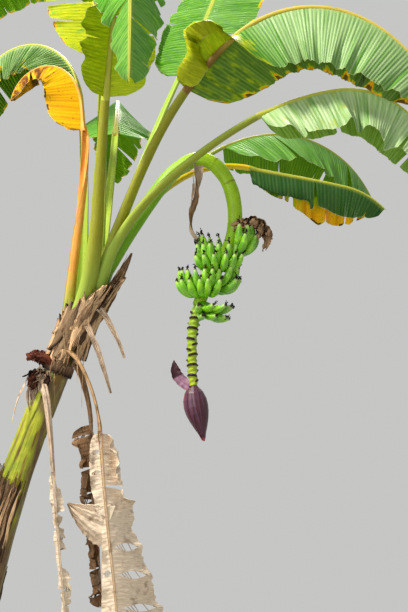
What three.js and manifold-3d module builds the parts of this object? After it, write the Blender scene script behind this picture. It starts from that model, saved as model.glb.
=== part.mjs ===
// A banana plant in fruit: a leaning false stem, ten long leaves on grooved stalks, withered
// leaves that hang from the stem, and one bunch on a bent stalk that ends in a flower bud.
// Millimetres, +Z up. The origin is the centre of the flat cut under the stem, at ground level.
import * as THREE from 'three';
import { mergeVertices } from 'three/addons/utils/BufferGeometryUtils.js';
import Module from 'manifold-3d';

const wasm = await Module();
wasm.setup();

// Clearance kept between neighbouring pieces, and the length of the straight steps that
// leaves and small straps are made of
const GAP = 0.35;
const STEP = 200;
const STRAP_STEP = 90;
const LINE_STEPS = 96;

// False stem: the line it follows, the height of its top on that line and its radii,
// equally spaced from the foot to the top
const STEM_LINE = 2500;
const STEM_TOP = 2330;
const STEM_RISES = [90, 80, 76, 72, 68.5, 65, 62];
const STEM_RADII = [122, 101, 95, 90, 85, 79, 73, 67, 63, 54];

// Leaf stalks: depth for each unit of width, how fast the width falls from the sheath, and
// the rise and dip of the groove on top
const STALK_DEPTH = 0.78;
const STALK_FALL = 1.5;
const GROOVE_RISE = 1.1;
const GROOVE_DIP = 1.35;

// Leaves: thickness of a blade, forward sweep of its veins, width of a tear at the rib
// and at the edge, and the rib's thickness against the stalk's and at its tip
const BLADE_THICKNESS = 9;
const VEIN_SWEEP = 0.16;
const TEAR_AT_RIB = 4;
const TEAR_AT_EDGE = 26;
const RIB_SHARE = 0.72;
const RIB_TIP_RADIUS = 6.5;

// Outline of a blade: the share of its length where the base widens, its share of the full
// width at the stalk, where it starts to narrow, how blunt the tip is, its least half width,
// and the shares of the rib that the blade starts and ends at
const BASE_END = 0.2;
const BASE_WIDTH = 0.4;
const TIP_START = 0.5;
const TIP_BLUNTNESS = 2.4;
const LEAST_HALF = 14;
const BLADE_START = 0.01;
const BLADE_END = 0.985;

// Fruit: one finger's length, its radii and its bend towards the sky, how far from the axis
// it starts and how far the lower row lies under the upper, the angle that a hand spreads to
// each side, and the cushion that its fingers grow from
const FINGER_LENGTH = 148;
const FINGER_RADII = [9, 18, 18, 10];
const FINGER_RISES = [-4, 38, 68, 84];
const FINGER_ROOT = 42;
const ROW_DROP = 21;
const HAND_FAN = 74;
const CUSHION_DEPTH = 30;
const CUSHION_HALF_WIDTH = 58;
const CUSHION_HALF_HEIGHT = 22;
const CUSHION_DROP = 8;

// Fruit stalk, from the crown over its bend to the bud
const STALK_LENGTH = 1256;
const STALK_RISES = [62, 60, 58, 56, 52, 30, -45, -75, -94];
const STALK_RADII = [40, 38, 37, 36];
const STALK_BEND = 0.64;
const BUNCH_LENGTH = 460;
const BUNCH_RISES = [-94, -118, -122, -108];
const BUNCH_RADII = [36, 33, 31];
const RACHIS_LENGTH = 400;
const RACHIS_RISES = [-108, -90, -86];
const RACHIS_RADII = [31, 29, 27];
const BUD_LENGTH = 280;
const BUD_RISES = [-86, -76, -78];
const BUD_RADII = [20, 48, 62, 65, 60, 49, 34, 17, 5];

// Withered sheaths on the stem: thickness, and how far the outside stands off the stem
const SHEATH_THICKNESS = 13;
const SHEATH_STAND = 9;

const GREEN = 0x5f8f2a;
const PALE_GREEN = 0x9fb35e;
const YELLOW = 0xd6ad2f;
const ORANGE = 0xcf8a33;
const STALK_GREEN = 0x8a9a3c;
const STEM_GREEN = 0x97993f;
const DRY = 0xb39b7c;
const DRY_DARK = 0x6b4f38;
const FRUIT_GREEN = 0x6c9a2f;
const BUD_PURPLE = 0x6d3044;

const radians = THREE.MathUtils.degToRad;

// Value at t, from 0 to 1, of a row of equally spaced values
function along(values, t) {
  const last = values.length - 1;
  const x = Math.min(Math.max(t, 0), 1) * last;
  const i = Math.min(Math.floor(x), last - 1);
  return last === 0 ? values[0] : values[i] + (values[i + 1] - values[i]) * (x - i);
}

// A line that bends as it goes: its rise above the level and its heading, both in degrees,
// change evenly from one value of each row to the next. Heading 0 is +X and 90 is +Y.
class BentLine {
  constructor(start, length, rises, headings, roll = 0) {
    this.length = length;
    this.rises = rises;
    this.headings = headings;
    this.roll = radians(roll);
    this.steps = LINE_STEPS;
    this.points = [start.clone()];
    for (let k = 0; k < this.steps; k++) {
      const step = this.ahead((k + 0.5) / this.steps).multiplyScalar(length / this.steps);
      this.points.push(this.points[k].clone().add(step));
    }
  }

  ahead(t) {
    const rise = radians(along(this.rises, t));
    const heading = radians(along(this.headings, t));
    const level = Math.cos(rise);
    return new THREE.Vector3(level * Math.cos(heading), level * Math.sin(heading), Math.sin(rise));
  }

  // The line runs on straight past its ends
  point(t) {
    const x = t * this.steps;
    const i = Math.min(Math.max(Math.floor(x), 0), this.steps - 1);
    return this.points[i].clone().lerp(this.points[i + 1], x - i);
  }

  // Position on the line with the directions ahead, to the right and up from it
  frame(t) {
    const rise = radians(along(this.rises, t));
    const heading = radians(along(this.headings, t));
    const right = new THREE.Vector3(Math.sin(heading), -Math.cos(heading), 0);
    const up = new THREE.Vector3(
      -Math.sin(rise) * Math.cos(heading),
      -Math.sin(rise) * Math.sin(heading),
      Math.cos(rise),
    );
    const c = Math.cos(this.roll);
    const s = Math.sin(this.roll);
    return {
      point: this.point(t),
      ahead: this.ahead(t),
      right: right.clone().multiplyScalar(c).addScaledVector(up, s),
      up: up.clone().multiplyScalar(c).addScaledVector(right, -s),
    };
  }

  // Where the next line starts, just clear of this one's end
  next() {
    return this.point(1).addScaledVector(this.ahead(1), GAP);
  }
}

// A solid from a closed three.js shape whose vertices are moved by a rule
function solidFrom(shape, move) {
  shape.deleteAttribute('normal');
  shape.deleteAttribute('uv');
  const geometry = mergeVertices(shape, 1e-5);
  const position = geometry.attributes.position;
  for (let i = 0; i < position.count; i++) {
    const p = move(position.getX(i), position.getY(i), position.getZ(i));
    position.setXYZ(i, p.x, p.y, p.z);
  }
  const triVerts = Uint32Array.from(geometry.index.array);
  const vertProperties = Float32Array.from(position.array);
  const solid = new wasm.Manifold(new wasm.Mesh({ numProp: 3, vertProperties, triVerts }));
  if (solid.volume() > 0) {
    return solid;
  }
  for (let i = 0; i < triVerts.length; i += 3) {
    [triVerts[i], triVerts[i + 1]] = [triVerts[i + 1], triVerts[i]];
  }
  return new wasm.Manifold(new wasm.Mesh({ numProp: 3, vertProperties, triVerts }));
}

// A tapering limb along a line. The section gives, for a place on the line and an angle
// round it, how far to the right and up the surface lies. It can be grown past its ends.
function limb(line, from, to, sides, steps, section, grow = 0) {
  const shape = new THREE.CylinderGeometry(1, 1, 1, sides, steps);
  const past = (0.9 * grow) / line.length;
  const first = from - past;
  const last = to + past;
  return solidFrom(shape, (x, y, z) => {
    const t = first + (last - first) * (y + 0.5);
    const f = line.frame(t);
    const [right, up] = section(t, Math.atan2(z, x), Math.hypot(x, z));
    return f.point.addScaledVector(f.right, right).addScaledVector(f.up, up);
  });
}

function roundSection(radii, grow = 0) {
  return (t, angle, reach) => {
    const r = (along(radii, t) + grow) * reach;
    return [r * Math.cos(angle), r * Math.sin(angle)];
  };
}

function flatSection(widths, thickness, grow = 0) {
  return (t, angle, reach) => {
    const w = (along(widths, t) / 2 + grow) * reach;
    const h = (thickness / 2 + grow) * reach;
    return [w * Math.cos(angle), h * Math.sin(angle)];
  };
}

// The section of a leaf stalk is a crescent, with its groove on top. When it is grown to cut
// a neighbour clear, it is the full oval round that crescent.
function stalkSection(base, neck, grow = 0) {
  return (t, angle, reach) => {
    const w = neck + (base - neck) * Math.pow(Math.max(1 - t, 0), STALK_FALL) + grow;
    const h = w * STALK_DEPTH;
    if (reach < 0.5) {
      return [0, -0.55 * h];
    }
    const s = Math.sin(angle);
    const rise = s > 0 && grow === 0 ? GROOVE_RISE * s - GROOVE_DIP * s * s * s : s;
    return [w * Math.cos(angle), h * rise];
  };
}

// Half the width of a blade: it widens fast from its base and rounds off to the tip
function halfWidth(leaf, t) {
  const lobe = 1 - Math.min(Math.max(t, 0) / BASE_END, 1);
  const fall = Math.max(t - TIP_START, 0) / (1 - TIP_START);
  const base = BASE_WIDTH + (1 - BASE_WIDTH) * Math.sqrt(1 - lobe * lobe);
  const tip = Math.sqrt(Math.max(1 - Math.pow(fall, TIP_BLUNTNESS), 0));
  return Math.max(leaf.half * base * tip, LEAST_HALF);
}

// One strip of blade between two tears, from the rib to the edge on one side
function bladeStrip(leaf, line, sign, from, to, droop, grow) {
  const side = sign > 0 ? 0 : 1;
  const rows = Math.max(1, Math.round(((to - from) * leaf.blade) / STEP));
  const shape = new THREE.BoxGeometry(1, 1, 1, 2, rows, 1);
  const curl = leaf.curl[side];
  const edge = (leaf.tear ?? TEAR_AT_EDGE) / 2 / leaf.blade;
  const root = TEAR_AT_RIB / 2 / leaf.blade;
  return solidFrom(shape, (x, y, z) => {
    const u = x + 0.5;
    const narrow = root + (edge - root) * u - grow / leaf.blade;
    const t = from + narrow + (to - from - 2 * narrow) * (y + 0.5);
    const f = line.frame(t);
    const width = halfWidth(leaf, t) * along(leaf.trim?.[side] ?? [1], t);
    const out = width * u + (u > 0.99 ? grow : 0);
    const lean = radians(droop + (curl * u) / 2);
    const facing = radians(droop + curl * u);
    const thick = (BLADE_THICKNESS + 2 * grow) * z;
    return f.point
      .addScaledVector(f.right, sign * Math.cos(lean) * out)
      .addScaledVector(f.up, Math.sin(lean) * out)
      .addScaledVector(f.ahead, VEIN_SWEEP * out)
      .addScaledVector(f.right, -sign * Math.sin(facing) * thick)
      .addScaledVector(f.up, Math.cos(facing) * thick);
  });
}

// A blade, or the part of one between two places on its rib: the rib with its strips
function bladeSolid(leaf, line, from, to, grow) {
  const first = from + (from > 0 ? GAP / leaf.blade : 0);
  const steps = Math.max(3, Math.round(((to - from) * leaf.blade) / STEP));
  const rib = roundSection([leaf.neck * RIB_SHARE, RIB_TIP_RADIUS], grow);
  let solid = limb(line, first, to, 4, steps, rib, grow);
  for (const sign of [1, -1]) {
    const side = sign > 0 ? 0 : 1;
    const inside = leaf.tears[side].filter((t) => t > from + 0.02 && t < to - 0.02);
    const cuts = [Math.max(from, BLADE_START), ...inside, Math.min(to, BLADE_END)];
    for (let k = 0; k + 1 < cuts.length; k++) {
      const swing = leaf.loose * Math.sin(5.3 * k + 9.1 * cuts[k] + 2.1 * leaf.order + sign);
      const droop = along(leaf.droop[side], (cuts[k] + cuts[k + 1]) / 2) + swing;
      solid = solid.add(bladeStrip(leaf, line, sign, cuts[k], cuts[k + 1], droop, grow));
    }
  }
  return solid;
}

const plant = new THREE.Group();
const placed = [];

function boxesTouch(a, b) {
  const p = a.boundingBox();
  const q = b.boundingBox();
  return [0, 1, 2].every((i) => p.min[i] < q.max[i] && q.min[i] < p.max[i]);
}

// Adds one piece to the plant, cut clear of those that are there already. The rule that makes
// it is called with 0 for the piece itself and with the gap for the shape that cuts others.
function place(name, color, roughness, make) {
  let solid = make(0);
  for (const cutter of placed) {
    if (boxesTouch(solid, cutter) && solid.intersect(cutter).volume() > 1e-4) {
      solid = solid.subtract(cutter);
    }
  }
  const bodies = solid.decompose();
  bodies.sort((a, b) => b.volume() - a.volume());
  const mesh = bodies[0].getMesh();
  const geometry = new THREE.BufferGeometry();
  geometry.setAttribute('position', new THREE.BufferAttribute(mesh.vertProperties, 3));
  geometry.setIndex(new THREE.BufferAttribute(mesh.triVerts, 1));
  geometry.computeVertexNormals();
  const material = new THREE.MeshStandardMaterial({ color, roughness, metalness: 0 });
  const object = new THREE.Mesh(geometry, material);
  object.name = name;
  plant.add(object);
  placed.push(make(GAP));
}

// The false stem, round at every height, with its foot cut level
const stemLine = new BentLine(new THREE.Vector3(0, 0, 0), STEM_LINE, STEM_RISES, [0, 0]);
const stemEnd = STEM_TOP / STEM_LINE;
const stemRadius = (t) => along(STEM_RADII, t / stemEnd);

function stemSolid(grow) {
  const section = (t, angle, reach) => {
    const r = (stemRadius(t) + grow) * reach;
    return [r * Math.cos(angle), r * Math.sin(angle)];
  };
  return limb(stemLine, 0, stemEnd, 12, 14, section, grow);
}

place('pseudostem', STEM_GREEN, 0.6, stemSolid);

// A point beside the stem's line, at a distance along it
function beside(distance, right, toBack, up = 0) {
  const p = stemLine.point(distance / STEM_LINE);
  return p.add(new THREE.Vector3(right, toBack, up));
}

// The fruit stalk rises out of the crown and bends over; the bunch's axis, the bare stalk
// under it and the bud follow one another down
const stalkStart = beside(STEM_TOP + 2 * GAP, 0, 0);
const stalk = new BentLine(stalkStart, STALK_LENGTH, STALK_RISES, [0, 0]);
const stalkGap = GAP / STALK_LENGTH;
place('fruit_stalk_rise', STALK_GREEN, 0.5, (grow) =>
  limb(stalk, 0, STALK_BEND, 8, 7, roundSection(STALK_RADII, grow), grow));
place('fruit_stalk_drop', STALK_GREEN, 0.5, (grow) =>
  limb(stalk, STALK_BEND + stalkGap, 1, 8, 5, roundSection(STALK_RADII, grow), grow));

const axis = new BentLine(stalk.next(), BUNCH_LENGTH, BUNCH_RISES, [0, 0]);
place('bunch_axis', STALK_GREEN, 0.5, (grow) =>
  limb(axis, 0, 1, 8, 3, roundSection(BUNCH_RADII, grow), grow));

const rachis = new BentLine(axis.next(), RACHIS_LENGTH, RACHIS_RISES, [0, 0]);
place('bare_rachis', STALK_GREEN, 0.6, (grow) =>
  limb(rachis, 0, 1, 8, 4, roundSection(RACHIS_RADII, grow), grow));

const bud = new BentLine(rachis.next(), BUD_LENGTH, BUD_RISES, [0, 0]);
place('flower_bud', BUD_PURPLE, 0.45, (grow) =>
  limb(bud, 0, 1, 10, 7, roundSection(BUD_RADII, grow), grow));

// Leaves, in the order that they leave the crown. at is the distance along the stem, beside
// the offset from its line to the right and to the back; stalk and blade are lengths with
// their rises and headings; base and neck are half the stalk's width at its two ends; half is
// half the blade's width. droop, curl and tears each have a row for the right half and one
// for the left, looking from the base to the tip, and so has trim, the share of the width that
// is left along a worn half. split is where the blade bends over.
const LEAVES = [
  {
    name: 'leaf_7', color: GREEN, order: 7, at: 2300, beside: [-10, 20],
    stalk: 1340, stalkRises: [66, 66, 66, 64, 60], stalkHeadings: [40, 44],
    blade: 1660, rises: [60, 58, 56, 50, 26, -10], headings: [46, 56, 62, 66, 70, 74],
    base: 40, neck: 19, half: 300, split: 0.54, loose: 3,
    droop: [[-2, -10, -35], [4, -8, -30]], curl: [-16, -14],
    tears: [[0.76], [0.34]],
  },
  {
    name: 'leaf_3', color: PALE_GREEN, order: 3, at: 2250, beside: [5, -45],
    stalk: 1130, stalkRises: [69, 67, 66, 61, 52], stalkHeadings: [-20, -20],
    blade: 1575, rises: [52, 40, 10, -22, -48, -64], headings: [-20, -20, -16, -12, -9, -5],
    base: 44, neck: 29, half: 310, split: 0.54, loose: 3,
    droop: [
      [66, 50, -10, -44, -50, -54, -56, -58, -60, -60, -60],
      [-34, -54, -62, -70, -68, -66],
    ],
    curl: [-14, -10],
    tears: [[0.1, 0.2, 0.82], [0.34, 0.74]],
  },
  {
    name: 'leaf_4', color: PALE_GREEN, order: 4, at: 2250, beside: [25, -55],
    stalk: 1247, stalkRises: [76, 42, 27], stalkHeadings: [-20, -10],
    blade: 1182, rises: [27, 8, -45, -72], headings: [-10, 8],
    base: 44, neck: 25, half: 270, split: 0.5, loose: 3,
    droop: [[-44, -58, -64], [-40, -54, -62]], curl: [-12, -12],
    tears: [[0.72], [0.3, 0.78]], trim: [[1], [0.9]],
  },
  {
    name: 'leaf_5', color: YELLOW, order: 5, at: 2250, beside: [35, 30],
    stalk: 1157, stalkRises: [74, 61, 33, -10], stalkHeadings: [10, 8],
    blade: 760, rises: [-9, -10, -14, -50], headings: [8, -12],
    base: 38, neck: 23, half: 240, split: 0.6, loose: 4,
    droop: [[-50, -58, -60], [-64, -72, -66]], curl: [-10, -8],
    tears: [[0.46], [0.3, 0.8]], trim: [[0.8], [0.6, 0.85, 0.95, 0.85, 0.55]],
  },
  {
    name: 'leaf_6', color: GREEN, order: 6, at: 2280, beside: [10, 50],
    stalk: 1134, stalkRises: [73, 47, 30], stalkHeadings: [25, 30],
    blade: 1216, rises: [30, 5, -25, -62], headings: [30, 34],
    base: 36, neck: 18, half: 250, split: 0.46, loose: 4,
    droop: [[-34, -46, -56], [-40, -50, -60]], curl: [-14, -14],
    tears: [[0.28, 0.74], [0.66]],
  },
  {
    name: 'leaf_10', color: GREEN, order: 10, at: 2280, beside: [0, 60],
    stalk: 1180, stalkRises: [58, 58, 52], stalkHeadings: [80, 90],
    blade: 1350, rises: [52, 26, -30, -74], headings: [90, 102],
    base: 38, neck: 19, half: 260, split: 0.46, loose: 6,
    droop: [[-22, -44, -60], [-22, -44, -60]], curl: [-14, -14],
    tears: [[0.24, 0.62, 0.8], [0.3, 0.7]],
  },
  {
    name: 'leaf_2', color: GREEN, order: 2, at: 2150, beside: [-10, -60],
    stalk: 1080, stalkRises: [62, 84, 76], stalkHeadings: [-40, -60, -68],
    blade: 1680, rises: [76, 60, -16, -70, -86], headings: [-68, -92],
    base: 52, neck: 23, half: 250, split: 0.46, loose: 8,
    droop: [[-24, -44, -60], [-24, -44, -60]], curl: [-16, -16],
    tears: [[0.28, 0.6, 0.76], [0.24, 0.64, 0.82]],
  },
  {
    name: 'leaf_9', color: GREEN, order: 9, at: 2200, beside: [26, 50],
    stalk: 1320, stalkRises: [78, 88, 90], stalkHeadings: [50, 80, 130],
    blade: 1550, rises: [90, 56, -8, -68], headings: [130, 158],
    base: 40, neck: 20, half: 260, split: 0.46, loose: 6,
    droop: [[-20, -46, -60], [-20, -46, -60]], curl: [-16, -16],
    tears: [[0.28, 0.7], [0.22, 0.62, 0.8]],
  },
  {
    name: 'leaf_8', color: GREEN, order: 8, at: 2120, beside: [-6, 48],
    stalk: 1200, stalkRises: [82, 86, 84], stalkHeadings: [60, 90, 150],
    blade: 1300, rises: [86, 34, -30, -60, -80], headings: [150, 178],
    base: 36, neck: 18, half: 230, split: 0.42, loose: 8,
    droop: [[-20, -50, -62], [-26, -54, -62]], curl: [-14, -14],
    tears: [[0.24, 0.6, 0.8], [0.26, 0.7]],
  },
  {
    name: 'leaf_1', color: ORANGE, order: 1, at: 2050, beside: [-45, -25],
    stalk: 1060, stalkRises: [83, 83, 81], stalkHeadings: [0, -10, 120],
    blade: 740, rises: [86, 84, 66, 30, -14, -50, -78], headings: [160, 168, 174],
    base: 34, neck: 19, half: 190, split: 0.3, loose: 4,
    droop: [[-72, -60, -48, -50, -56], [-66, -60, -46, -46, -52]], curl: [-6, -10],
    tears: [[0.7], [0.74]],
  },
];

for (const leaf of LEAVES) {
  const start = beside(leaf.at, leaf.beside[0], leaf.beside[1]);
  leaf.stalkLine = new BentLine(start, leaf.stalk, leaf.stalkRises, leaf.stalkHeadings);
  leaf.bladeLine = new BentLine(leaf.stalkLine.next(), leaf.blade, leaf.rises, leaf.headings);
  const steps = Math.round(leaf.stalk / STEP);
  place(leaf.name + '_stalk', STALK_GREEN, 0.5, (grow) =>
    limb(leaf.stalkLine, 0, 1, 8, steps, stalkSection(leaf.base, leaf.neck, grow), grow));
}

for (const leaf of LEAVES) {
  place(leaf.name + '_blade_inner', leaf.color, 0.55, (grow) =>
    bladeSolid(leaf, leaf.bladeLine, 0, leaf.split, grow));
  place(leaf.name + '_blade_outer', leaf.color, 0.55, (grow) =>
    bladeSolid(leaf, leaf.bladeLine, leaf.split, 1, grow));
}

// Hands of fruit round the bunch's axis: how far down it, which way the hand faces, the number
// of fingers in its upper and lower row, how much more steeply than usual they rise, and how
// far the hand stands off
const HANDS = [
  { down: 138, facing: -12, rows: [4, 2], lift: 8, out: 22 },
  { down: 170, facing: 140, rows: [4, 3], lift: 0, out: 0 },
  { down: 236, facing: -88, rows: [5, 4], lift: 0, out: 0 },
  { down: 345, facing: 18, rows: [4, 3], lift: -12, out: 16 },
  { down: 380, facing: -112, rows: [5, 4], lift: 0, out: 0 },
  { down: 452, facing: -30, rows: [4, 3], lift: -56, out: 0 },
];

function fingerSolid(base, heading, drop, hand, length, grow) {
  const out = new THREE.Vector3(Math.cos(radians(heading)), Math.sin(radians(heading)), 0);
  const start = base.clone().addScaledVector(out, FINGER_ROOT);
  start.z -= drop;
  const rises = FINGER_RISES.map((rise) => rise + hand.lift - drop * 0.7);
  const line = new BentLine(start, length, rises, [heading, heading]);
  return limb(line, 0, 1, 5, 3, roundSection(FINGER_RADII, grow), grow);
}

function handSolid(hand, grow) {
  const heading = radians(hand.facing);
  const base = axis.point(hand.down / BUNCH_LENGTH);
  base.x += hand.out * Math.cos(heading);
  base.y += hand.out * Math.sin(heading);
  const cushion = new THREE.SphereGeometry(1, 8, 4);
  let solid = solidFrom(cushion, (x, y, z) => {
    const deep = CUSHION_DEPTH + (CUSHION_DEPTH + grow) * x;
    const wide = (CUSHION_HALF_WIDTH + grow) * z;
    return new THREE.Vector3(
      base.x + deep * Math.cos(heading) - wide * Math.sin(heading),
      base.y + deep * Math.sin(heading) + wide * Math.cos(heading),
      base.z - CUSHION_DROP + (CUSHION_HALF_HEIGHT + grow) * y,
    );
  });
  for (const row of [0, 1]) {
    const count = hand.rows[row];
    for (let k = 0; k < count; k++) {
      const spread = ((k + 0.5) / count - 0.5) * 2 * (HAND_FAN - 8 * row);
      const length = FINGER_LENGTH * (1 - 0.07 * row - 0.05 * Math.abs(Math.sin(3 * k + row)));
      const drop = ROW_DROP * row;
      const finger = fingerSolid(base, hand.facing + spread, drop, hand, length, grow);
      solid = solid.add(finger);
    }
  }
  return solid;
}

HANDS.forEach((hand, k) => {
  place('hand_' + (k + 1), FRUIT_GREEN, 0.5, (grow) => handSolid(hand, grow));
});

// Flat straps: withered bracts, torn sheaths and withered leaf stalks. Each starts on what
// carries it, and its widths are spaced equally along it.
function strap(name, color, spec) {
  const line = new BentLine(spec.start, spec.length, spec.rises, spec.headings, spec.roll);
  const steps = Math.max(3, Math.round(spec.length / STRAP_STEP));
  place(name, color, 0.85, (grow) =>
    limb(line, 0, 1, 6, steps, flatSection(spec.widths, spec.thickness, grow), grow));
  return line;
}

strap('bud_bract', BUD_PURPLE, {
  start: bud.point(0.05).add(new THREE.Vector3(-16, -8, 4)),
  length: 168, rises: [26, 42, 78, 86], headings: [188, 180], roll: 62,
  widths: [46, 74, 66, 14], thickness: 9,
});
strap('dry_bract_strap', DRY, {
  start: stalk.point(0.665).add(new THREE.Vector3(0, -24, -12)),
  length: 415, rises: [-86, -92, -106, -98, -70], headings: [0, 0], roll: -70,
  widths: [58, 44, 34, 30, 22], thickness: 8,
});
strap('dry_bract_cap', DRY_DARK, {
  start: axis.point(0.13).add(new THREE.Vector3(18, -16, 0)),
  length: 260, rises: [62, 24, -58, -98], headings: [-14, -8], roll: 32,
  widths: [40, 78, 74, 26], thickness: 8,
});

// Withered leaves that hang down the stem: stalk, then blade
const DRY_LEAVES = [
  {
    name: 'dry_leaf_1', color: DRY, order: 11, at: 2000, beside: [-32, -48],
    stalk: 500, stalkRises: [-18, -58, -72, -86], stalkHeadings: [-35, -8],
    blade: 1210, rises: [-86, -83, -86], headings: [0, 0], roll: -80,
    base: 17, neck: 12, half: 200, loose: 12, tear: 34,
    droop: [[-12, -20, -34], [-18, -10, -22]], curl: [24, -22],
    tears: [[0.16, 0.34, 0.56, 0.8], [0.22, 0.46, 0.7, 0.86]],
    trim: [[0.45, 0.5, 0.85, 0.4, 0.5], [0.85, 0.8, 0.85, 1.05, 1.3, 1.2]],
  },
  {
    name: 'dry_leaf_2', color: DRY, order: 12, at: 1810, beside: [-44, -50],
    stalk: 480, stalkRises: [-24, -78, -84, -85], stalkHeadings: [-76, -40, -10],
    blade: 900, rises: [-85, -84, -86], headings: [-10, 0], roll: -70,
    base: 17, neck: 11, half: 92, loose: 16, tear: 30,
    droop: [[-40, -50, -50], [-40, -50, -50]], curl: [10, -20],
    tears: [[0.3, 0.62], [0.22, 0.5, 0.76]],
  },
  {
    name: 'dry_leaf_3', color: DRY_DARK, order: 13, at: 1960, beside: [10, 56],
    stalk: 420, stalkRises: [-20, -66, -84], stalkHeadings: [70, 40],
    blade: 950, rises: [-84, -86, -86], headings: [40, 30], roll: 20,
    base: 17, neck: 11, half: 120, loose: 14, tear: 30,
    droop: [[-40, -50, -56], [-40, -50, -56]], curl: [-18, -18],
    tears: [[0.3, 0.64], [0.24, 0.52, 0.78]],
  },
];

for (const leaf of DRY_LEAVES) {
  const start = beside(leaf.at, leaf.beside[0], leaf.beside[1]);
  const stalkLine = new BentLine(start, leaf.stalk, leaf.stalkRises, leaf.stalkHeadings);
  const bladeLine = new BentLine(
    stalkLine.next(), leaf.blade, leaf.rises, leaf.headings, leaf.roll);
  const steps = Math.round(leaf.stalk / STRAP_STEP);
  place(leaf.name + '_stalk', leaf.color, 0.9, (grow) =>
    limb(stalkLine, 0, 1, 6, steps, roundSection([leaf.base, leaf.neck], grow), grow));
  place(leaf.name + '_blade', leaf.color, 0.9, (grow) => bladeSolid(leaf, bladeLine, 0, 1, grow));
}

// Withered straps and torn sheath ends at the crown, and the stub of a cut leaf
strap('dry_stalk_1', DRY, {
  start: beside(2180, -42, -46), length: 470,
  rises: [-20, -64, -72, -74], headings: [-50, -12, 0], roll: -50,
  widths: [34, 30, 24, 16], thickness: 9,
});
strap('dry_stalk_2', DRY, {
  start: beside(2240, 0, -52), length: 360,
  rises: [-12, -54, -66, -70], headings: [-42, -8, 0], roll: -50,
  widths: [34, 30, 22, 14], thickness: 9,
});
strap('torn_sheath_1', DRY_DARK, {
  start: beside(2190, 52, -16), length: 350,
  rises: [46, 60, 66], headings: [0, 0], roll: 50,
  widths: [74, 66, 46, 10], thickness: 9,
});
strap('torn_sheath_2', DRY_DARK, {
  start: beside(2120, 54, -22), length: 300,
  rises: [40, 58, 62], headings: [-6, 0], roll: 60,
  widths: [70, 60, 40, 10], thickness: 9,
});
strap('cut_stub', DRY_DARK, {
  start: beside(1920, -38, -22), length: 140,
  rises: [62, 40, 20], headings: [188, 184], roll: 0,
  widths: [66, 74, 70], thickness: 44,
});

// Withered sheaths that still wrap the stem: a curved plate between two places on the stem
// and two angles round it, standing off further towards its upper edge
function sheathSolid(sheath, grow) {
  const shape = new THREE.BoxGeometry(1, 1, 1, 6, 2, 1);
  return solidFrom(shape, (x, y, z) => {
    const v = y + 0.5;
    const ragged = sheath.ragged * Math.sin(9 * x + sheath.from) * v;
    const past = 2 * grow * y;
    const t = (sheath.from + (sheath.to - sheath.from) * v + ragged + past) / STEM_LINE;
    const angle = radians(sheath.facing + sheath.wrap * x) + (2 * grow * x) / stemRadius(t);
    const f = stemLine.frame(t);
    const stand = sheath.flare * v * v;
    const outer = stemRadius(t) + SHEATH_STAND + stand + grow;
    const r = z > 0 ? outer : outer - SHEATH_THICKNESS - 2 * grow;
    return f.point
      .addScaledVector(f.right, r * Math.cos(angle))
      .addScaledVector(f.up, r * Math.sin(angle));
  });
}

const SHEATHS = [
  { from: 2010, to: 2150, facing: 8, wrap: 150, flare: 6, ragged: 22 },
  { from: 1850, to: 1975, facing: 66, wrap: 130, flare: 16, ragged: 16 },
  { from: 930, to: 1300, facing: 40, wrap: 150, flare: 9, ragged: 34 },
  { from: 420, to: 840, facing: 150, wrap: 150, flare: 8, ragged: 30 },
];

SHEATHS.forEach((sheath, k) => {
  place('dry_sheath_' + (k + 1), DRY_DARK, 0.9, (grow) => sheathSolid(sheath, grow));
});

export default plant;
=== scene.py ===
"""The looks of a banana plant in fruit. Every leaf, stalk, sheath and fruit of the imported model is
grown again here by the same rules, finer, and stands for its plain solid. The rules are in
millimetres, +Z up, with the origin in the flat cut at the foot of the stem."""
import math

import bpy
import numpy as np
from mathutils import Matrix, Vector


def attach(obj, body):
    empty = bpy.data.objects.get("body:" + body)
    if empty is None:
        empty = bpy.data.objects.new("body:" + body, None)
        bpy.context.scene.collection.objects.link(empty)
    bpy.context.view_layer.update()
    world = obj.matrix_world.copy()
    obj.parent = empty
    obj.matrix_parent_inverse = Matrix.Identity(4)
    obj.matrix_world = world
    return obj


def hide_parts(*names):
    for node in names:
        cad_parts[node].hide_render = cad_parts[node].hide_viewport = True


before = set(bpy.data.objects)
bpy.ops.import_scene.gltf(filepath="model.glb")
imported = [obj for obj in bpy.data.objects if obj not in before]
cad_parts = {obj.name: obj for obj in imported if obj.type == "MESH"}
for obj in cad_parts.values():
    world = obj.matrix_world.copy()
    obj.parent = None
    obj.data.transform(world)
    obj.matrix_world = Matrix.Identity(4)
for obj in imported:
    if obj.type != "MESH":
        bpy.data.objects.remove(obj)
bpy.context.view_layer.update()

# A millimetre in metres, the gap between the end of a line and the next one's start, and a whole
# turn
MM = 0.001
GAP = 0.35
TURN = 2 * math.pi

# Driving sizes of the model's own rules. Rises are in degrees above the level, and radii lead
# from a line's start to its end.
STEM_LINE = 2500
STEM_TOP = 2330
STEM_RISES = [90, 80, 76, 72, 68.5, 65, 62]
STEM_RADII = [122, 101, 95, 90, 85, 79, 73, 67, 63, 54]
STALK_DEPTH = 0.78
STALK_FALL = 1.5
VEIN_SWEEP = 0.16
TEAR_AT_RIB = 4
TEAR_AT_EDGE = 26
RIB_SHARE = 0.72
BASE_END = 0.2
BASE_WIDTH = 0.4
TIP_START = 0.5
TIP_BLUNTNESS = 2.4
LEAST_HALF = 14
PLEAT_PITCH = 20
BLADE_START = 0.01
BLADE_END = 0.985
FINGER_LENGTH = 148
FINGER_RISES = [-4, 38, 68, 84]
FINGER_ROOT = 42
ROW_DROP = 21
HAND_FAN = 74
STALK_LENGTH = 1256
STALK_RISES = [62, 60, 58, 56, 52, 30, -45, -75, -94]
STALK_RADII = [40, 38, 37, 36]
BUNCH_LENGTH = 460
BUNCH_RISES = [-94, -118, -122, -108]
BUNCH_RADII = [36, 33, 31]
RACHIS_LENGTH = 400
RACHIS_RISES = [-108, -90, -86]
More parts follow.
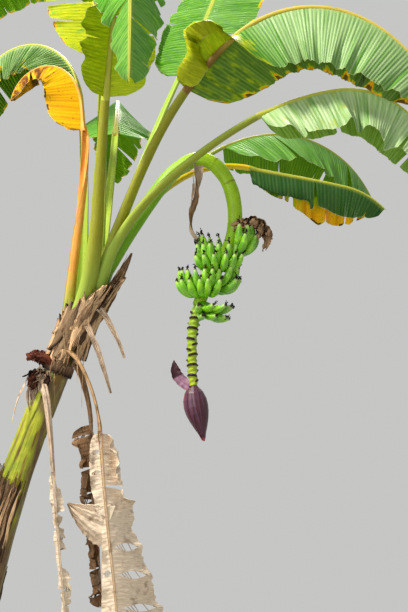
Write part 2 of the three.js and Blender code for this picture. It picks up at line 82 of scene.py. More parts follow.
RACHIS_RADII = [31, 29, 27]
BUD_LENGTH = 280
BUD_RISES = [-86, -76, -78]
BUD_RADII = [20, 48, 62, 65, 60, 49, 34, 17, 5]

# Fineness of this model: length of a row of a blade, cells across half of one, and how thick a
# leaf is
ROW = 4.2
ACROSS = 14
LEAF_SKIN = 1.8

# Radii by which angles become lengths in the UV maps: of the stem, of what wraps it, of the feet
# of the stalks and of the bud
STEM_MEAN = 95
WRAP_MEAN = 90
CLASP_MEAN = 60
BUD_MEAN = 60

# Strength of every material's relief, whose depth is in metres
RELIEF = 0.6


def along(values, t):
    """Value at t, from 0 to 1, of a row of equally spaced values."""
    return np.interp(np.clip(t, 0, 1), np.linspace(0, 1, len(values)), values)


def smooth(x, low=0.0, high=1.0):
    """0 below low, 1 above high, and an even S between."""
    x = np.clip((x - low) / (high - low), 0, 1)
    return x * x * (3 - 2 * x)


def unit(v):
    return v / np.linalg.norm(v, axis=-1, keepdims=True)


def waves(points, length, seed):
    """Smooth noise from about -1 to 1: waves of about this length that run many ways."""
    count, dice = 7, np.random.default_rng(seed)
    points = np.asarray(points, float)
    ways = unit(dice.normal(size=(count, points.shape[-1])))
    sizes = TURN / length * dice.uniform(0.6, 1.7, count)
    starts = dice.uniform(0, TURN, count)
    total = np.sin(points @ (ways * sizes[:, None]).T + starts).sum(-1)
    return total / count * 1.6


def wander(x, length, seed):
    """The same noise along one number."""
    return waves(np.asarray(x, float)[..., None], length, seed)


def turned(side, normal, degrees):
    """Two directions turned about the third by an angle that varies along a strap."""
    angle = np.radians(degrees)[..., None]
    c, s = np.cos(angle), np.sin(angle)
    return side * c + normal * s, normal * c - side * s


def grid(*values):
    """Numbers for the same points, side by side."""
    return np.stack(np.broadcast_arrays(*values), -1)


def moved(points, *moves):
    """Points moved along directions, each of which its distance follows."""
    for way, distance in zip(moves[::2], moves[1::2]):
        points = points + way * np.asarray(distance)[..., None]
    return points


def level(heading):
    """The level direction of a heading in degrees."""
    angle = math.radians(heading)
    return np.array([math.cos(angle), math.sin(angle), 0])


def around(sides):
    """Angles all round, in one row."""
    return (np.arange(sides) / sides * TURN)[None, :]


def down(count, first=0.0, last=1.0):
    """Even steps from first to last, in one column."""
    return np.linspace(first, last, count + 1)[:, None]


def across(count, first=-1.0, last=1.0):
    """Even steps from first to last, in one row."""
    return np.linspace(first, last, count + 1)[None, :]


class Line:
    """A line that bends as it goes: its rise above the level and its heading, in degrees, change
    evenly from one value of each row to the next. Heading 0 is +X and 90 is +Y."""

    STEPS = 96

    def __init__(self, start, length, rises, headings, roll=0):
        self.length, self.rises, self.headings = length, rises, headings
        self.roll = math.radians(roll)
        middles = (np.arange(self.STEPS) + 0.5) / self.STEPS
        steps = self.ahead(middles) * (length / self.STEPS)
        start = np.asarray(start, float)
        self.points = start + np.vstack([np.zeros(3), np.cumsum(steps, axis=0)])

    def angles(self, t):
        return np.radians(along(self.rises, t)), np.radians(along(self.headings, t))

    def ahead(self, t):
        rise, heading = self.angles(t)
        flat = np.cos(rise)
        return np.stack([flat * np.cos(heading), flat * np.sin(heading), np.sin(rise)], -1)

    def point(self, t):
        x = np.asarray(t, float) * self.STEPS
        i = np.clip(np.floor(x), 0, self.STEPS - 1).astype(int)
        part = (x - i)[..., None]
        return self.points[i] * (1 - part) + self.points[i + 1] * part

    def frame(self, t):
        """Positions on the line with the directions ahead, to the right and up from it."""
        rise, heading = self.angles(t)
        right = np.stack([np.sin(heading), -np.cos(heading), np.zeros_like(heading)], -1)
        up = np.stack([-np.sin(rise) * np.cos(heading), -np.sin(rise) * np.sin(heading),
                       np.cos(rise)], -1)
        c, s = math.cos(self.roll), math.sin(self.roll)
        return self.point(t), self.ahead(t), right * c + up * s, up * c - right * s

    def next(self):
        return self.point(1.0) + self.ahead(1.0) * GAP


class Piece:
    """Gathers grids of points into one mesh, with a UV map in metres and a number for each
    vertex under each of the names that its materials read."""

    NUMBERS = ("rim", "dry", "pale", "dark")
    SHARP = math.radians(55)

    def __init__(self, name):
        self.name, self.count = name, 0
        self.points, self.uv, self.faces, self.slots = [], [], [], []
        self.numbers = {key: [] for key in self.NUMBERS}

    def vertices(self, points, uv, **numbers):
        """Adds points of any shape and returns their indices in that shape."""
        shape = points.shape[:-1]
        size = int(np.prod(shape))
        first = self.count
        self.points.append(points.reshape(-1, 3))
        self.uv.append(np.broadcast_to(uv, shape + (2,)).reshape(-1, 2))
        for key in self.NUMBERS:
            value = np.broadcast_to(numbers.get(key, 0.0), shape)
            self.numbers[key].append(value.reshape(-1))
        self.count += size
        return np.arange(first, first + size).reshape(shape)

    def add(self, corners, slot, flip):
        """Adds faces, each a row of indices, turned over by flip."""
        self.faces.append(corners[:, ::-1] if flip else corners)
        self.slots.append(np.full(len(corners), slot))

    def cells(self, index, slot=0, flip=False):
        """Four-sided faces between the rows and columns of a grid of indices."""
        corners = [index[:-1, :-1], index[1:, :-1], index[1:, 1:], index[:-1, 1:]]
        self.add(np.stack(corners, -1).reshape(-1, 4), slot, flip)

    def fan(self, ring, centre, uv, slot=0, flip=False, **numbers):
        """Closes a ring of indices with a point in its middle."""
        middle = self.vertices(centre[None], uv, **numbers)[0]
        self.add(np.stack([np.roll(ring, -1), ring, np.full_like(ring, middle)], -1), slot, flip)

    def tube(self, points, uv, slot=0, **numbers):
        """A closed limb from rings of points, rows along it and columns round it."""
        index = self.vertices(points, uv, **numbers)
        self.cells(np.concatenate([index, index[:, :1]], 1), slot)
        shape = points.shape[:-1]
        for end, turned_over in ((0, False), (-1, True)):
            ends = {key: np.mean(np.broadcast_to(value, shape)[end])
                    for key, value in numbers.items()}
            self.fan(index[end], points[end].mean(0), uv[end, 0], slot, turned_over, **ends)

    def shell(self, top, bottom, uv, slots=(0, 0), under=None, **numbers):
        """A thin closed plate between two grids of points that share their borders' places.
        under holds the numbers that differ on the bottom."""
        upper = self.vertices(top, uv, **numbers)
        lower = self.vertices(bottom, uv, **{**numbers, **(under or {})})
        self.cells(upper, slots[0])
        self.cells(lower, slots[1], flip=True)
        for edge, turned_over in (((slice(None), 0), False), ((slice(None), -1), True),
                                  ((0, slice(None)), True), ((-1, slice(None)), False)):
            self.cells(np.stack([upper[edge], lower[edge]], 0), slots[0], flip=turned_over)

    def build(self, materials, slot, *nodes):
        """Makes the object. It stands for the CAD nodes named, or else for the one that has the
        piece's own name."""
        nodes = nodes or [self.name]
        name = self.name + "_skin"
        mesh = bpy.data.meshes.new(name)
        corners = np.concatenate([face.ravel() for face in self.faces]).astype(np.int32)
        sizes = np.concatenate([np.full(len(face), face.shape[1]) for face in self.faces])
        starts = np.concatenate([[0], np.cumsum(sizes)[:-1]]).astype(np.int32)
        points = np.concatenate(self.points) * MM
        mesh.vertices.add(self.count)
        mesh.vertices.foreach_set("co", points.astype(np.float32).ravel())
        mesh.loops.add(len(corners))
        mesh.loops.foreach_set("vertex_index", corners)
        mesh.polygons.add(len(sizes))
        mesh.polygons.foreach_set("loop_start", starts)
        mesh.polygons.foreach_set("material_index", np.concatenate(self.slots).astype(np.int32))
        mesh.update(calc_edges=True)
        layer = mesh.uv_layers.new(name="Along")
        uv = np.concatenate(self.uv)[corners] * MM
        layer.uv.foreach_set("vector", uv.astype(np.float32).ravel())
        for key in self.NUMBERS:
            values = np.concatenate(self.numbers[key]).astype(np.float32)
            mesh.attributes.new(key, "FLOAT", "POINT").data.foreach_set("value", values)
        for material in materials:
            mesh.materials.append(material)
        mesh.shade_smooth()
        mesh.set_sharp_from_angle(angle=self.SHARP)
        piece = bpy.data.objects.new(name, mesh)
        bpy.context.scene.collection.objects.link(piece)
        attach(piece, "root")
        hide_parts(*nodes)


def tube_on(piece, line, section, rings, sides, slot=0, last=1.0, **numbers):
    """A limb along a line. The section is its radii at equal steps, or a rule that gives, for
    places on the line and angles round it, its radius, or how far to the right and how far up
    its surface lies. Numbers may be rules too."""
    t, angle = down(rings, 0, last), around(sides)
    centre, _, right, up = line.frame(t)
    r = section(t, angle) if callable(section) else along(section, t)
    x, y = r if isinstance(r, tuple) else (r * np.cos(angle), r * np.sin(angle))
    uv = grid(t * line.length, angle * np.mean(np.hypot(x, y)))
    numbers = {key: value(t, angle) + 0 * x if callable(value) else value
               for key, value in numbers.items()}
    piece.tube(moved(centre, right, x, up, y), uv, slot, **numbers)


def ribbon(piece, centre, side, normal, half, thick, cells, profile=None, slots=(0, 0),
           **numbers):
    """A strap along a row of points. side points to its right edge and normal out of its face,
    half is half its width at each point, and profile gives, for a share of the width, how far
    the face lies out, as a share of the half width."""
    u = across(cells)
    side, normal = side[:, None], normal[:, None]
    half = np.broadcast_to(np.asarray(half, float), len(centre))[:, None]
    rise = profile(u) if profile else 0 * u
    middle = moved(centre[:, None], side, half * u, normal, half * rise)
    body = normal * (thick / 2 * (1 - 0.6 * np.abs(u) ** 3) + 0 * half)[..., None]
    run = np.concatenate([[0], np.cumsum(np.linalg.norm(np.diff(centre, axis=0), axis=1))])
    uv = grid(run[:, None], half * u)
    piece.shell(middle + body, middle - body, uv, slots, **numbers)


# Materials


def colour(hexadecimal):
    """A web colour as linear red, green, blue and 1."""
    parts = [(hexadecimal >> shift & 255) / 255 for shift in (16, 8, 0)]
    return [p / 12.92 if p < 0.04045 else ((p + 0.055) / 1.055) ** 2.4 for p in parts] + [1]


class Shader:
    """A material's nodes, written as calls that take and give sockets, numbers or colours. tint
    is the colour so far, and over lays a further one on it."""

    def __init__(self, name, roughness, specular):
        self.material = bpy.data.materials.new(name)
        self.material.use_nodes = True
        self.tree = self.material.node_tree
        self.skin = self.tree.nodes["Principled BSDF"]
        self.skin.inputs["Roughness"].default_value = roughness
        self.skin.inputs["Specular IOR Level"].default_value = specular
        self.tint = None

    def give(self, socket, value):
        if isinstance(value, bpy.types.NodeSocket):
            self.tree.links.new(value, socket)
        else:
            socket.default_value = value

    def node(self, kind, inputs, **settings):
        """A new node with its inputs given, by number or name, and its settings."""
        made = self.tree.nodes.new(kind)
        for key, value in settings.items():
            setattr(made, key, value)
        for key, value in inputs.items():
            self.give(made.inputs[key], value)
        return made

    def sum(self, operation, a, b=0.0):
        return self.node("ShaderNodeMath", {0: a, 1: b}, operation=operation).outputs[0]

    def times(self, a, b):
        return self.sum("MULTIPLY", a, b)

    def plus(self, a, b):
        return self.sum("ADD", a, b)

    def step(self, value, low, high):
        """0 where value is below low, 1 above high, smooth between."""
        inputs = {"Value": value, "From Min": low, "From Max": high}
        made = self.node("ShaderNodeMapRange", inputs, interpolation_type="SMOOTHSTEP")
        return made.outputs["Result"]

    def mix(self, share, a, b, part=1.0):
        """a, with b over it by share, and b by no more than part."""
        if part != 1.0:
            share = self.times(share, part)
        factor, first, second, result = 0, 6, 7, 2
        a, b = (v if isinstance(v, bpy.types.NodeSocket) else colour(v) for v in (a, b))
        inputs = {factor: share, first: a, second: b}
        return self.node("ShaderNodeMix", inputs, data_type="RGBA").outputs[result]

    def over(self, share, tint, part=1.0):
        """Lays a tint on, by a share or by one of a piece's numbers."""
        share = self.number(share) if isinstance(share, str) else share
        self.tint = self.mix(share, self.tint, tint, part)

    def number(self, name):
        return self.node("ShaderNodeAttribute", {}, attribute_name=name).outputs["Fac"]

    def map(self):
        """The UV map: metres along the piece and metres across it."""
        uv = self.node("ShaderNodeUVMap", {}, uv_map="Along").outputs[0]
        made = self.node("ShaderNodeSeparateXYZ", {0: uv})
        return made.outputs[0], made.outputs[1]

    def noise(self, at, scale, detail, rough=0.55):
        inputs = {"Vector": at, "Scale": scale, "Detail": detail, "Roughness": rough}
        return self.node("ShaderNodeTexNoise", inputs).outputs["Fac"]

    def grain(self, scale, stretch, detail=3.0, lengthwise=True):
        """Noise drawn out along the piece, or across it."""
        run, out = self.map()
        if lengthwise:
            run = self.times(run, stretch)
        else:
            out = self.times(out, stretch)
        at = self.node("ShaderNodeCombineXYZ", {0: run, 1: out}).outputs[0]
        return self.noise(at, scale, detail)

    def cloud(self, scale, detail=4.0):
        """Noise by the position on the plant."""
        at = self.node("ShaderNodeTexCoord", {}).outputs["Object"]
        return self.noise(at, scale, detail, 0.6)

    def finish(self, height, depth, share=0.0, through=None):
        """Sets colour and relief. share lets light from the far side through in that colour."""
        self.give(self.skin.inputs["Base Color"], self.tint)
        relief = {"Distance": depth, "Strength": RELIEF, "Height": height}
        bump = self.node("ShaderNodeBump", relief).outputs[0]
        self.give(self.skin.inputs["Normal"], bump)
        if share:
            thin = self.node("ShaderNodeBsdfTranslucent", {"Color": through, "Normal": bump})
            both = {0: share, 1: self.skin.outputs[0], 2: thin.outputs[0]}
            made = self.node("ShaderNodeMixShader", both).outputs[0]
            self.give(self.tree.nodes["Material Output"].inputs[0], made)
        return self.material


# What a leaf turns to as it withers, lime and gold in two shades, where the lime is also a painted
# glow of light coming through the blade, then its pale margin, the band along its rib, its spots,
# and the light that comes through a withered one
LIME_AND_GLOW = (0xa4b40c, 0xcfd020)
GOLD = (0xea9e04, 0xfcc40a)
LEAF_BROWN = 0x6f3d18
LEAF_MARGIN = 0xd6d3a0
RIB_BAND = 0xb5bf45
LEAF_SPOT = 0x5b3212
DRY_THROUGH = 0xc9a877

# Streaks, spots and ripe streaks of the stalks
STALK_STREAK = 0x6c7a26
STALK_SPOT = 0x54461f
STALK_RIPE_STREAK = 0xc9772a


def leaf_material(name, deep, light, shade, bloom, roughness, share, through):
    """Living leaf: fine parallel veins, a paler band at the rib and a pale margin. pale is its
    bloom, partly a waxy bloom and partly a painted sheen, kept to the pleats' crests as a painted
    highlight; dark is painted shade, over the whole top or underside and in the troughs between the
    pleats; and dry is how far it has turned: lime, which is partly a painted glow of light coming
    through the blade, gold, then brown."""
    s = Shader(name, roughness, specular=0.22)
    fine = s.grain(260, 0.06, 2.0, lengthwise=False)
    broad = s.grain(40, 0.06, 3.0, lengthwise=False)
    patch = s.grain(22, 0.5, 4.0, lengthwise=False)
    s.tint = s.mix(s.step(fine, 0.3, 0.72), deep, light)
    s.over(s.step(broad, 0.46, 0.66), light, 0.5)
    s.over(s.step(s.cloud(5.5), 0.5, 0.72), deep, 0.5)
    # dark lays painted shade, and pale below lays the bloom, which is partly a painted sheen
    s.over("dark", shade)
    s.over(s.step(s.sum("ABSOLUTE", s.map()[1]), 0.03, 0.0), RIB_BAND, 0.5)
    s.over(s.times(s.number("pale"), s.step(broad, 0.2, 0.6)), bloom)
    ripe = s.plus(s.number("dry"), s.times(s.sum("SUBTRACT", patch, 0.5), 0.7))
    s.over(s.step(ripe, 0.12, 0.3), s.mix(s.step(fine, 0.35, 0.7), *LIME_AND_GLOW))
    s.over(s.step(ripe, 0.52, 0.68), s.mix(s.step(broad, 0.3, 0.65), *GOLD))
    s.over(s.step(ripe, 1.02, 1.16), LEAF_BROWN)
    spots = s.step(s.cloud(95, 2.0), 0.66, 0.72)
    s.over(s.times(spots, s.step(s.number("dry"), 0.1, 0.3)), LEAF_SPOT, 0.8)
    s.over(s.step(s.plus(s.number("rim"), s.times(patch, 5.0)), 5.6, 3.4), LEAF_MARGIN, 0.6)
    height = s.plus(fine, s.times(broad, 1.6))
    return s.finish(height, depth=0.0012, share=share, through=s.mix(0.5, s.tint, through))


def stalk_material(name, low, high, bloom, roughness=0.42, scar=0x6b3f1b, ripe=0xe6a04a):
    """Stalks: fine lengthwise lines and spots. pale leads from low to high, and on a leaf stalk its
    underside is made more olive as painted shade; dark is edges and scars, and dry is how far it has
    turned."""
    s = Shader(name, roughness, specular=0.3)
    lines = s.grain(420, 0.05, 2.0)
    streaks = s.grain(60, 0.16, 4.0)
    s.tint = s.mix(s.number("pale"), low, high)
    s.over(s.step(lines, 0.35, 0.7), bloom, 0.3)
    s.over(s.step(streaks, 0.52, 0.7), STALK_STREAK, 0.35)
    s.over(s.step(s.cloud(70), 0.68, 0.74), STALK_SPOT, 0.8)
    s.over("dry", s.mix(s.step(streaks, 0.45, 0.75), ripe, STALK_RIPE_STREAK))
    s.over("dark", scar)
    return s.finish(s.plus(lines, streaks), depth=0.0015)


def dry_material(name, light, middle, deep, share=0.0, creased=0.05, blade=False):
    """Withered leaf: fibres along it, stains and dark folds."""
    s = Shader(name, roughness=0.82, specular=0.2)
    fibres = s.grain(330, 0.07, lengthwise=not blade)
    creases = s.grain(140, 0.12, 3.0, lengthwise=False)
    s.tint = s.mix(s.step(fibres, 0.3, 0.72), middle, light)
    s.over(s.step(creases, 0.48, 0.68), middle, creased)
    s.over(s.step(s.cloud(16, 5.0), 0.52, 0.72), deep, 0.7)
    s.over("pale", light)
    s.over("dark", deep)
    return s.finish(s.plus(fibres, creases), depth=0.003, share=share,
                    through=s.mix(0.5, s.tint, DRY_THROUGH))


def stem_material():
    """The false stem: yellow-green sheaths with brown streaks, fibres and stains. dry also browns
    its right side, away from the light, as painted shade.
    """
    s = Shader("stem_skin", roughness=0.46, specular=0.4)
    lines = s.grain(300, 0.06)
    streaks = s.grain(26, 0.14, 5.0)
    olive, straw, green = 0x959c16, 0xb9bb2a, 0x6f8a18
    streak, core, pale, seam = 0x83621f, 0x47300f, 0xa9c267, 0x2b2118
    withered, fibre = 0x47311f, 0x8d7049
    s.tint = s.mix(s.step(lines, 0.3, 0.7), olive, straw)
    s.over(s.step(s.cloud(7.5, 5.0), 0.42, 0.6), green, 0.6)
    s.over(s.step(streaks, 0.55, 0.66), streak, 0.9)
    s.over(s.step(streaks, 0.62, 0.72), core)
    s.over("pale", pale)
    # dry is withering, and on the stem's right side it is painted shade
    s.over("dry", s.mix(s.step(lines, 0.35, 0.65), withered, fibre))
    s.over("dark", seam)
    return s.finish(s.plus(lines, s.times(streaks, 2.0)), depth=0.003)


def fruit_material():
    """Green fruit skin, paler by pale: to the tip, and on the crests of the ridges as a painted
    highlight; brown by dark.
    """
    s = Shader("fruit_skin", roughness=0.34, specular=0.4)
    marks = s.cloud(150, 2.0)
    deep, light, mark, tip, remains = 0x58a406, 0x90d40c, 0x4d5a1d, 0xbfd083, 0x1f1a0e
    s.tint = s.mix(s.step(s.cloud(26), 0.35, 0.7), deep, light)
    s.over(s.step(marks, 0.7, 0.76), mark)
    s.over("pale", tip)
    s.over("dark", remains)
    return s.finish(marks, depth=0.0006)


def bud_material(name, deep, light, bloom):
    """Bracts of the bud under a bloom, laid in streaks that are partly a waxy bloom and partly a
    painted sheen: pale is a red flush, dark the wine-red margins, and dry an orange one."""
    flush, wine, orange = 0xa8323f, 0x3b0f1c, 0xd8853f
    s = Shader(name, roughness=0.4, specular=0.5)
    lines = s.grain(380, 0.08, 2.0)
    s.tint = s.mix(s.step(lines, 0.35, 0.7), deep, light)
    # Bloom streaks: partly a waxy bloom, partly a painted sheen
    s.over(s.step(s.grain(70, 0.06, 3.0), 0.42, 0.66), bloom, 0.6)
    s.over("pale", flush)
    s.over("dark", wine)
    s.over("dry", orange)
    return s.finish(lines, depth=0.0012)


def plain_material(name, dark, light, scale, roughness):
    """Two shades mixed by fine noise, for small dark remains and for the floor."""
    s = Shader(name, roughness, specular=0.3)
    grain = s.cloud(scale)
    s.tint = s.mix(s.step(grain, 0.35, 0.7), dark, light)
    return s.finish(grain, depth=0.001)


# Each leaf material's fourth colour is its painted shade, and its fifth its bloom, partly a painted
# sheen
LEAF_TOP = leaf_material(
    "leaf_top", 0x348a08, 0x7cc41a, 0x14480a, 0xd2e8b4, 0.4, 0.3, 0xb0e014)
LEAF_UNDER = leaf_material(
    "leaf_under", 0x5f920a, 0x9cc41e, 0x35500a, 0xc4d698, 0.55, 0.42, 0xc4e80c)
RIB = stalk_material("leaf_rib", 0x98a228, 0xc2bc3c, 0xccca6c)
STALK = stalk_material("leaf_stalk", 0x9cc04a, 0x86840e, 0xb0b440)
PEDUNCLE = stalk_material("fruit_stalk", 0x6ca408, 0x98be12, 0xa4cc2c, 0.38)
SCARRED = stalk_material("scarred_stalk", 0x6c9a1a, 0x9cab26, 0xa3bd3c, 0.4, scar=0x2a0f16)
YELLOW_STALK = stalk_material(
    "yellow_stalk", 0x9fbc50, 0x7d7a12, 0xaeb048, 0.4, ripe=0xf2d00a)
DRY = dry_material("dry_leaf", 0xffeed8, 0xd9c2a6, 0x86694f, 0.15, 0.35, blade=True)
DRY_RIB = dry_material("dry_rib", 0xd0ac82, 0x9c7850, 0x76552f, creased=0.1)
DRY_STRAP = dry_material("dry_strap", 0xdac6ae, 0xa98d72, 0x664c38, creased=0.0)
SHEATH = dry_material("dry_sheath", 0xeac69a, 0x8c5f3a, 0x2a180e)
SHEATH_INSIDE = dry_material("dry_sheath_inside", 0xa08060, 0x684a33, 0x24170f)
STUB = dry_material("cut_end", 0x84432a, 0x47211a, 0x180c08, creased=0.5)
STEM = stem_material()
FRUIT = fruit_material()
BUD = bud_material("bud_skin", 0x2c0814, 0x561428, 0x6c4a66)
BUD_INSIDE = bud_material("bract_inside", 0x9a6079, 0xb98aa4, 0xb79ab4)
REMNANT = plain_material("flower_remnant", 0x0e0807, 0x35211a, 260, 0.8)


# The false stem

stem = Line((0, 0, 0), STEM_LINE, STEM_RISES, [0, 0])

# Edges of the sheaths that wrap the stem: where each edge starts and ends along the stem, its
# angle at the start, its twist in degrees for each metre, and its thickness
SHEATH_EDGES = [
    (0, 900, 20, 30, 5), (0, 1250, 150, -22, 6), (120, 1500, 265, 26, 5),
    (500, 1900, 60, -30, 6), (700, 2330, 200, 24, 6), (1200, 2330, 320, -26, 5),
]

# Where the withered sheaths' wrap ends, along the stem
COLLAR = 1868


def stem_radius(distance):
    return along(STEM_RADII, np.asarray(distance, float) / STEM_TOP)


def beside(distance, right, to_back):
    """A point beside the stem's line, at a distance along it."""
    return stem.point(distance / STEM_LINE) + np.array([right, to_back, 0])


def on_stem(distance, angle, radius):
    """Points round the stem, at distances along it, angles from its right and radii."""
    centre, _, right, up = stem.frame(np.asarray(distance, float) / STEM_LINE)
    return moved(centre, right, radius * np.cos(angle), up, radius * np.sin(angle))


def wrap_shell(piece, s, angle, radius, thick, shift=0.0, **numbers):
    """A thin plate wrapped on the stem. shift moves its fibres along it."""
    piece.shell(on_stem(s, angle, radius), on_stem(s, angle, radius - thick),
                grid(s + shift, angle * WRAP_MEAN), **numbers)


def make_stem():
    piece = Piece("pseudostem")
    rings, sides = 310, 80
    s, angle = down(rings, 0, STEM_TOP), around(sides)
    seam = 0 * (s + angle)
    relief = 0 * (s + angle)
    for start, end, at, twist, thick in SHEATH_EDGES:
        edge = math.radians(at) + math.radians(twist) * s / 1000 + 0.05 * wander(s, 260, at)
        past = np.mod(angle - edge, TURN)
        inside = smooth(s, start - 1, start + 60) * (1 - smooth(s, end - 90, end))
        relief += thick * np.exp(-past / 0.75) * inside
        seam += np.exp(-np.minimum(past, TURN - past) / 0.05) * inside
    round_it = grid(np.cos(angle) * 260, np.sin(angle) * 260, s)
    relief += 2.2 * waves(round_it, 300, 3)
    relief += 0.8 * np.sin(34 * angle + 3 * waves(round_it, 700, 5))
    radius = stem_radius(s) - 5 + relief * smooth(s, -60, 90)
    points = on_stem(s, angle, radius)
    points[0, :, 2] = 0
    dry = smooth(waves(round_it * [1, 1, 0.5], 330, 11), 0.3, 0.5) * 0.9
    # Painted shade: the stem's right side in view, away from the light, is made browner
    dry = dry + 0.8 * smooth(np.sin(-angle) + 0.2 * wander(s, 240, 12), 0.45, 0.95)
    dry = np.clip(dry + smooth(s, COLLAR - 40, COLLAR) + smooth(-s, -420, -180) * 0.6, 0, 1)
    collar = np.exp(-((s - COLLAR - 14 * waves(round_it, 160, 9)) / 16) ** 2)
    dark = np.clip(0.75 * np.clip(seam, 0, 1) + collar, 0, 1)
    piece.tube(points, grid(s, angle * STEM_MEAN), dry=dry, dark=dark)
    piece.build([STEM], "stem")


class Row:
    """A row of a table: what it gives is laid over what its kind has."""

    def __init__(self, **sizes):
        vars(self).update(sizes)


# Leaves


class Leaf(Row):
    """One leaf, by the model's own row, over what most leaves share. Its foot is at a distance
    along the stem, and beside it to the right and to the back. stalk and blade hold a length,
    rises and headings. base and neck are half the stalk's width at its foot and its end, half is
    half the blade's, and loose is how far its strips swing. Where a value is for each half of
    the blade, the right one comes first: droop in degrees along the rib, curl at the margin,
    tears as places on the rib, and others."""

    PREFIX = "leaf_"
    FIRST_ORDER = 0

    # The turn of the blade about its rib, the curl, where the model's blade is cut in two, the
    # width of a tear at the margin, below 0 where the strips overlap, and shares of the half
    # width along the rib
    roll, curl, split, tear, trim = 0, (-14, -14), 0.46, TEAR_AT_EDGE, ([1], [1])
    # The margin's waves, their length, and how far they are cut into it, the height of the
    # pleats, the margin's unevenness, creases all over, and how thick the stalk is
    ruffle, wave, scallop, pleat, worn, crumple, plump = (10, 10), 168, 0.0, 1.4, 0.008, 0.0, 1.0
    # folds hold a half, a stretch of the rib, the share of the width where the fold starts, and
    # its angle. splits is the number of short tears for each half, and with slits some of them
    # close again before the margin. seams hold a half and the place of such a slit, and flutter
    # is how far the parts between them swing.
    folds, splits, slits, seams, flutter = (), 3, False, (), 2.2
    # Bloom on top, partly a waxy bloom and partly a painted sheen; painted shade in the troughs
    # between the pleats, which also keeps the bloom to their crests as a painted highlight; painted
    # shade that darkens the top and the underside; and the width of the withered margin
    bloom, pleat_shading, shade, brown = 0.15, 0.3, (0.0, 0.0), (0, 0)
    # How far the blade has turned. The lime band is how much, up to a share of its rib, partly real
    # yellowing and partly a painted glow of light coming through the blade, and far the left half's
    # part of that. dying is for all of the blade, withered for its outer end, where the brown is
    # partly withering and partly painted shade, and turned holds a half, its start and end on the
    # rib, and how much.
    lime_and_glow, far, dying, withered, turned = (0.0, 0.2), 1.0, 0.0, 0.0, (9, 0.0, 1.0, 0.0)
    # How olive the stalk is, how far it has turned and from where, how yellow and how brown the
    # rib starts, and the finish
    tone, ripe, rib = 0.5, (0.0, 0.45), (0.0, 0.0)
    stalk_skin, slot = STALK, "leaf"

    def __init__(self, number, **sizes):
        super().__init__(**sizes)
        self.name = self.PREFIX + str(number)
        self.order = self.FIRST_ORDER + number
        self.stalk_line = Line(beside(*self.at), *self.stalk)
        self.blade_line = Line(self.stalk_line.next(), *self.blade, self.roll)
        self.length = self.blade_line.length


